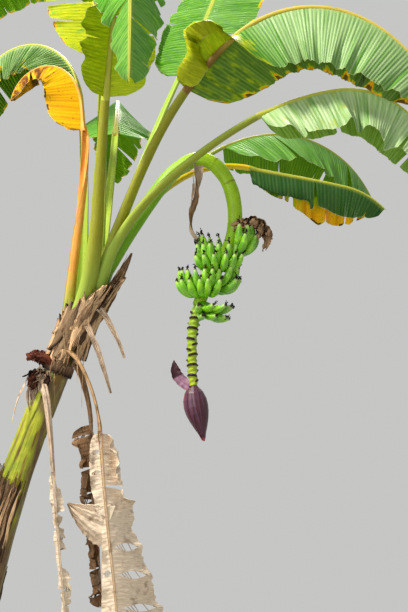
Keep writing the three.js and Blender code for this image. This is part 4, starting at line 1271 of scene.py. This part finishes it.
def make_sheaths():
    for k, sheath in enumerate(SHEATHS):
        piece = Piece("dry_sheath_" + str(k + 1))
        dice = np.random.default_rng(k + 200)
        facing, wrap = math.radians(sheath.facing), math.radians(sheath.wrap)
        at_collar = sheath.start > COLLAR - 60
        first = max(sheath.start, COLLAR + 12) if at_collar else sheath.start
        fan, v = across(80, -0.5, 0.5), down(14)
        for layer in range(2):
            angle = facing + wrap * fan * (1 - 0.1 * layer)
            low = first + 12 * wander(fan * 9, 1.3, k + layer)
            high = sheath.end + sheath.ragged * wander(fan * 9, 1.1, k + 5 + layer)
            high = high - sheath.slant * np.sin(angle) - 20
            s = low + (high - low) * v
            stand = 6 + 3 * layer + sheath.flare * v * v * 0.6
            radius = stem_radius(s) + stand + over_feet(s, angle) + 1.2 * np.sin(angle * 46 + k)
            # The layers under the strips are dark: painted shade where they show between the strips
            wrap_shell(piece, s, angle, radius, thick=3,
                       dark=0.75 + 0.2 * smooth(np.abs(fan), 0.4, 0.5))
        for _ in range(sheath.strips):
            make_strip(piece, sheath, facing + wrap * dice.uniform(-0.55, 0.55), first, dice)
        if sheath.collar:
            make_collar(piece)
        for _ in range(sheath.fibres):
            make_fibre(piece, dice)
        piece.build([SHEATH], "dry_sheath")


def make_strip(piece, sheath, middle, first, dice):
    """One torn strip of a sheath: one of its ends stands off the stem and is drawn to a point."""
    width = dice.uniform(*sheath.broad)
    low = first + dice.uniform(*sheath.low)
    if first > COLLAR:
        low = max(low, COLLAR + 6)
    high = sheath.end + dice.uniform(*sheath.high) - sheath.slant * math.sin(middle)
    lift = dice.uniform(3, 26)
    v, fan = down(16), across(8, -0.5, 0.5)
    free = (1 - v) ** 2 if dice.random() < 0.4 else v ** 2
    taper = (1 - 0.8 * smooth(free, 0.25, 1.0)) * (1 - 0.8 * smooth(v, 0.7, 1.0))
    seed = int(lift * 10)
    angle = middle + width * fan * taper + 0.1 * wander(v, 0.9, seed)
    s = low + (high - low) * v + 0 * fan
    bulge = 5 * (1 - (2 * fan) ** 2) * width / 0.3 + 1.6 * np.sin(16 * fan + seed)
    bulge = bulge + 2 * wander(v, 0.3, seed)
    radius = stem_radius(s) + sheath.stand + over_feet(s, angle) + lift * free + bulge
    # Each strip's pale and dark vary at random, it is darker towards its free end, and its edges are
    # darker still as painted shade between the strips
    edge = smooth(np.abs(fan), 0.36, 0.5)
    pale = dice.uniform(-0.2, 0.7)
    dark = dice.uniform(-0.45, 0.95) + 0.25 * smooth(free, 0.7, 1.0) + 0.9 * edge
    wrap_shell(piece, s, angle, radius, thick=2, shift=lift * 40, pale=pale,
               dark=np.clip(dark, 0, 1))


def make_collar(piece):
    """The dark torn edge where the sheaths' wrap ends."""
    angle, v = across(119, -2.2, 2.4), down(7)
    for layer in range(2):
        low = COLLAR - 6 - 9 * wander(angle, 0.35, 31 + layer)
        low = low - 5 * wander(angle, 0.1, 33 + layer)
        s = low + (COLLAR + 44 - low) * v
        radius = stem_radius(s) + 6 + 4 * layer + 3 * (1 - v) + 2 * wander(angle, 0.2, 35 + layer)
        wrap_shell(piece, s, angle, radius, thick=2, dark=1 - 0.4 * v)


def make_fibre(piece, dice):
    """A loose fibre that hangs from the sheaths."""
    angle = dice.uniform(-1.5, 1.2)
    s = dice.uniform(1960, 2240)
    start = on_stem(s, angle, stem_radius(s) + 24 + over_feet(s, angle))
    fibre = Line(start, dice.uniform(150, 320), list(dice.uniform(-100, -60, 5)),
                 list(-90 + dice.uniform(-120, 120, 4)))
    tube_on(piece, fibre, [2.2, 1.6, 1.4, 0.8], rings=30, sides=5, dark=0.2)


def over_feet(s, angle):
    """How much further out a sheath stands where it lies over the feet of the leaves in front
    and at the back."""
    start, whole, breadth = 2030, 2130, 0.95
    behind = np.mod(angle, TURN) - math.pi
    facing = np.exp(-((angle - 0.1) / breadth) ** 2) + 0.8 * np.exp(-(behind / breadth) ** 2)
    return facing * (26 * smooth(s, start, whole) + 0.26 * np.clip(s - whole, 0, 200))


def make_stub():
    """The stub of a cut leaf: a crumpled red-brown end, with dark flaps and pale shreds that
    hang from under it."""
    piece = Piece("cut_stub")
    line = Line(beside(1905, -34, -40), 96, [50, 20, -12], [192, 186])

    def section(t, angle):
        folds = 0.22 * smooth(t, 0.4, 1) * np.sin(7 * angle + 5 * layer)
        dents = 0.13 * wander(angle * 3 + t * 9, 2.2, layer)
        size = (0.7 + 0.3 * layer) * (1 + folds) * (1 + dents) * (1 - 0.2 * t ** 8)
        return along([66, 74, 70], t) / 2 * size * np.cos(angle), 22 * size * np.sin(angle)

    def dark(t, angle):
        return 0.55 * smooth(t, 0.6, 1) + 0.2 * wander(angle * 4, 3.0, layer)

    for layer in range(2):
        tube_on(piece, line, section, rings=46, sides=56, last=1 - 0.12 * layer, dark=dark)
    make_rags(piece, line, [
        (18, (0.1, 1.0), (6, 0, -4), (30, 56), (-60, 60), (14, 26), 0, (0.0, 0.6)),
        (26, (0.0, 1.1), (10, -6, -76), (50, 100), (-100, 0), (12, 28), 0, (0.4, 1.0)),
        (12, (0.0, 1.1), (6, -12, -70), (50, 110), (-100, -20), (10, 24), 1, (0.2, 0.9)),
        (9, (0.4, 1.4), (-10, 0, -90), (150, 270), (-100, -60), (5, 15), 1, (0.0, 0.4)),
    ], np.random.default_rng(91))
    piece.build([STUB, DRY_STRAP], "dry_sheath")


# The bunch, with the places of the ring scars on its stalk, and the pitch of the scars on the bare
# stalk and the turn from one to the next
RING_SCARS = [0.735, 0.835]
SCAR_PITCH = 26.0
SCAR_TURN = math.radians(158)


def make_fruit_stalk():
    """The stalk, with ring scars on its bend and below it, and the axis of the hands."""
    def ring(t):
        return sum(np.exp(-((t - at) * STALK_LENGTH / 3.2) ** 2) for at in RING_SCARS)

    def section(t, angle):
        r = along(STALK_RADII, t) + 1.5 * ring(t) + 0.5 * np.sin(9 * angle)
        return r + 0.8 * wander(t * 20, 3, 4)

    piece = Piece("fruit_stalk")
    tube_on(piece, fruit_stalk, section, rings=300, sides=40,
            pale=lambda t, angle: smooth(t, 0.3, 0.7) * 0.8,
            dark=lambda t, angle: 0.8 * ring(t) * smooth(np.cos(angle - 2 + 9 * t), -0.3, 0.6))
    tube_on(piece, bunch_axis, BUNCH_RADII, rings=60, sides=36, pale=0.5)
    piece.build([PEDUNCLE], "fruit_stalk", "fruit_stalk_rise", "fruit_stalk_drop", "bunch_axis")


def make_rachis():
    """The bare stalk under the fruit, knobbly with the scars of fallen bracts."""
    def scars(t, angle):
        total = 0 * (t + angle)
        for k in range(int(RACHIS_LENGTH / SCAR_PITCH)):
            facing = np.cos(angle - SCAR_TURN * k - 1.2)
            at = (k + 0.6) * SCAR_PITCH - 7 * facing
            near = np.exp(-((t * RACHIS_LENGTH - at) / 6.5) ** 2)
            total = total + near * smooth(facing, -0.4, 0.2)
        return np.clip(total, 0, 1)

    def section(t, angle):
        swell = 1.6 * np.sin(TURN * t * RACHIS_LENGTH / SCAR_PITCH + 2 * angle)
        return along(RACHIS_RADII, t) - 6 + swell + 8 * scars(t, angle)

    piece = Piece("bare_rachis")
    tube_on(piece, rachis, section, rings=220, sides=44,
            pale=lambda t, angle: 0.3 + 0.7 * t,
            dark=lambda t, angle: smooth(scars(t, angle), 0.2, 0.5))
    piece.build([SCARRED], "fruit_stalk")


class Hand(Row):
    """A hand of fruit, by the model's own row: its place down the axis, the way it faces, the
    fingers of its rows, by how much they lift, and how far out it stands."""

    lift, out = 0, 0


HANDS = [
    Hand(down=138, facing=-12, rows=(4, 2), lift=8, out=22),
    Hand(down=170, facing=140, rows=(4, 3)),
    Hand(down=236, facing=-88, rows=(5, 4)),
    Hand(down=345, facing=18, rows=(4, 3), lift=-12, out=16),
    Hand(down=380, facing=-112, rows=(5, 4)),
    Hand(down=452, facing=-30, rows=(4, 3), lift=-56),
]

# Radii of a finger, from its foot to its tip
FINGER_PROFILE = [9, 10, 14, 17, 18, 18.5, 18.5, 17.5, 15, 10.5, 6]


def make_finger(piece, start, length, rises, heading, dice):
    """A finger: five soft ridges, a narrow neck and a blunt tip with its flower's remains."""
    line = Line(start, length, rises, [heading, heading])
    ridge = dice.uniform(0, TURN)
    size = dice.uniform(0.95, 1.05)

    def section(t, angle):
        return along(FINGER_PROFILE, t) * size * (1 + 0.045 * np.cos(5 * angle + ridge))

    # Paler to the tip, and on the crests of the five ridges as a painted highlight
    def pale(t, angle):
        return 0.75 * smooth(t, 0.84, 0.99) + 0.22 * (1 + np.cos(5 * angle + ridge)) / 2

    tube_on(piece, line, section, rings=19, sides=15, pale=pale,
            dark=lambda t, _: 0.35 * (1 - smooth(t, 0, 0.12)) + smooth(t, 0.97, 1.0))
    way, rise = math.degrees(dice.uniform(0, TURN)), rises[-1]
    stump = Line(line.point(0.985), dice.uniform(16, 24), [rise, rise - 20, rise - 60],
                 [heading, way])
    tube_on(piece, stump, [5, 4, 3.6, 5, 2], rings=8, sides=6, slot=1)
    for _ in range(5):
        thread = Line(stump.point(0.75), dice.uniform(14, 30), list(dice.uniform(-70, 100, 4)),
                      list(way + dice.uniform(-260, 260, 4)))
        tube_on(piece, thread, [2.6, 1.9, 2.4], rings=8, sides=4, slot=1)


def make_hands():
    for k, hand in enumerate(HANDS):
        piece = Piece("hand_" + str(k + 1))
        dice = np.random.default_rng(k + 300)
        way = level(hand.facing)
        base = bunch_axis.point(hand.down / BUNCH_LENGTH) + hand.out * way
        make_cushion(piece, base, way)
        for row, fingers in enumerate(hand.rows):
            count = fingers + 2
            drop = ROW_DROP * row
            for finger in range(count):
                spread = ((finger + 0.5) / count - 0.5) * 2 * (HAND_FAN - 8 * row)
                length = FINGER_LENGTH * (1 - 0.04 * row - 0.05 * abs(math.sin(3 * finger + row)))
                heading = hand.facing + spread + dice.uniform(-3, 3)
                start = base + level(heading) * (FINGER_ROOT - 6) - np.array([0, 0, drop])
                rises = [rise + hand.lift - drop * 0.7 + dice.uniform(-4, 4)
                         for rise in FINGER_RISES]
                make_finger(piece, start, length + 4, rises, heading, dice)
        piece.build([FRUIT, REMNANT], "fruit")


def make_cushion(piece, base, way):
    """The cushion that a hand's fingers grow from."""
    high, angle = down(13, -1.45, 1.45), around(26)
    x = 30 + 30 * np.cos(high) * np.cos(angle)
    y = 58 * np.cos(high) * np.sin(angle)
    z = 22 * np.sin(high) - 8 + 0 * angle
    aside, up = np.array([-way[1], way[0], 0]), np.array([0, 0, 1])
    piece.tube(moved(base, way, x, aside, y, up, z), grid(z, y), dark=0.35)


# The bud's bracts: the angle each faces, half its breadth, where it starts and ends, how far out
# it lies, its red flush, and how wine-red and how orange its margin is
BRACTS = [
    (10, 100, 0.0, 0.995, 0.0, 0, 0.7, 0.0), (150, 95, 0.02, 0.96, 1.6, 0, 0.7, 0.0),
    (262, 84, 0.0, 0.985, 3.0, 1, 0.7, 0.0), (200, 40, 0.03, 0.5, 6.0, 0, 0.0, 0.8),
]


def make_bud():
    """The bud: bracts wrapped over one another, drawn to a red point."""
    piece = Piece("flower_bud")
    tube_on(piece, bud, lambda t, _: along(BUD_RADII, t) * 0.88, rings=60, sides=40,
            dark=lambda t, _: 0.3 + 0.7 * smooth(t, 0.88, 0.97))
    v, fan = down(59), across(24)
    for facing, breadth, first, last, out, red, wine, orange in BRACTS:
        t = first + (last - first) * v + 0 * fan
        shape = np.sqrt(np.clip(1 - (1 - np.clip(v / 0.16, 0, 1)) ** 2, 0.1, 1))
        shape = shape * (1 - 0.45 * smooth(v, 0.35, 1))
        angle = math.radians(facing) + np.radians(breadth) * fan * shape
        centre, _, right, up = bud.frame(t)
        r = along(BUD_RADII, t) * 0.89 + out + 1.5 * (1 - fan ** 2)
        faces = [moved(centre, right, d * np.cos(angle), up, d * np.sin(angle))
                 for d in (r, r - 2.4)]
        edge = smooth(np.abs(fan), 0.93, 1.0)
        flush = red * smooth(-v, -0.5, -0.02) * smooth(-np.abs(fan - 0.1), -0.45, 0)
        point = smooth(t, 0.91, 0.96)
        piece.shell(*faces, grid(t * BUD_LENGTH, angle * BUD_MEAN), (0, 1),
                    pale=np.clip(flush + 0.8 * point, 0, 1),
                    dark=np.clip(wine * edge + smooth(t, 0.86, 0.9) - point, 0, 1),
                    dry=orange * edge)
    piece.build([BUD, BUD_INSIDE], "bud")


# Stage


def make_stage():
    """A round floor that ends outside the main view."""
    size, sides = 3.2, 96
    angles = np.arange(sides) / sides * TURN
    corners = [(size * math.cos(a), size * math.sin(a), 0) for a in angles]
    mesh = bpy.data.meshes.new("floor")
    mesh.from_pydata(corners, [], [tuple(range(sides))])
    floor = bpy.data.objects.new("floor", mesh)
    mesh.materials.append(plain_material("floor_paint", 0x8f918c, 0x969892, 3, 0.95))
    bpy.context.scene.collection.objects.link(floor)


def add_light(name, place, target, size, power, tint):
    data = bpy.data.lights.new(name, "AREA")
    data.shape = "DISK"
    data.size, data.energy, data.color = size, power, tint
    light = bpy.data.objects.new(name, data)
    light.location = place
    light.rotation_euler = (Vector(target) - Vector(place)).to_track_quat("-Z", "Y").to_euler()
    bpy.context.scene.collection.objects.link(light)


def make_lights():
    world = bpy.data.worlds.new("studio")
    world.use_nodes = True
    sky = world.node_tree.nodes["Background"]
    sky.inputs["Color"].default_value = (0.97, 0.98, 0.96, 1)
    sky.inputs["Strength"].default_value = 0.58
    bpy.context.scene.world = world
    middle = (1.0, 0.0, 2.6)
    add_light("key", (-3.0, -3.0, 8.0), middle, 1.2, 860, (1.0, 0.95, 0.84))
    add_light("back", (1.5, 5.0, 8.5), middle, 3.0, 760, (1.0, 0.97, 0.86))
    add_light("fill", (-3.5, -7.5, 3.0), middle, 5.0, 270, (1.0, 0.98, 0.95))


def make_camera():
    """At the photograph's viewing place and angle: low, in front, looking slightly up."""
    camera_height, camera_back, camera_right, tilt = 1.6, -6.0, 1.186, 5.0
    frame_height, focal_pixels, sensor = 612, 1205, 36.0
    data = bpy.data.cameras.new("camera")
    data.sensor_fit = "VERTICAL"
    data.sensor_height = sensor
    data.lens = sensor * focal_pixels / frame_height
    camera = bpy.data.objects.new("camera", data)
    camera.location = (camera_right, camera_back, camera_height)
    camera.rotation_euler = (math.radians(90 + tilt), 0, 0)
    bpy.context.scene.collection.objects.link(camera)
    bpy.context.scene.camera = camera


make_camera()
make_lights()
make_stage()
make_stem()
make_leaves()
for dry_leaf in DRY_LEAVES:
    make_dry_leaf(dry_leaf)
make_straps()
make_sheaths()
make_stub()
make_fruit_stalk()
make_rachis()
make_hands()
make_bud()

bpy.context.scene.view_settings.view_transform = "Standard"
bpy.context.view_layer.update()
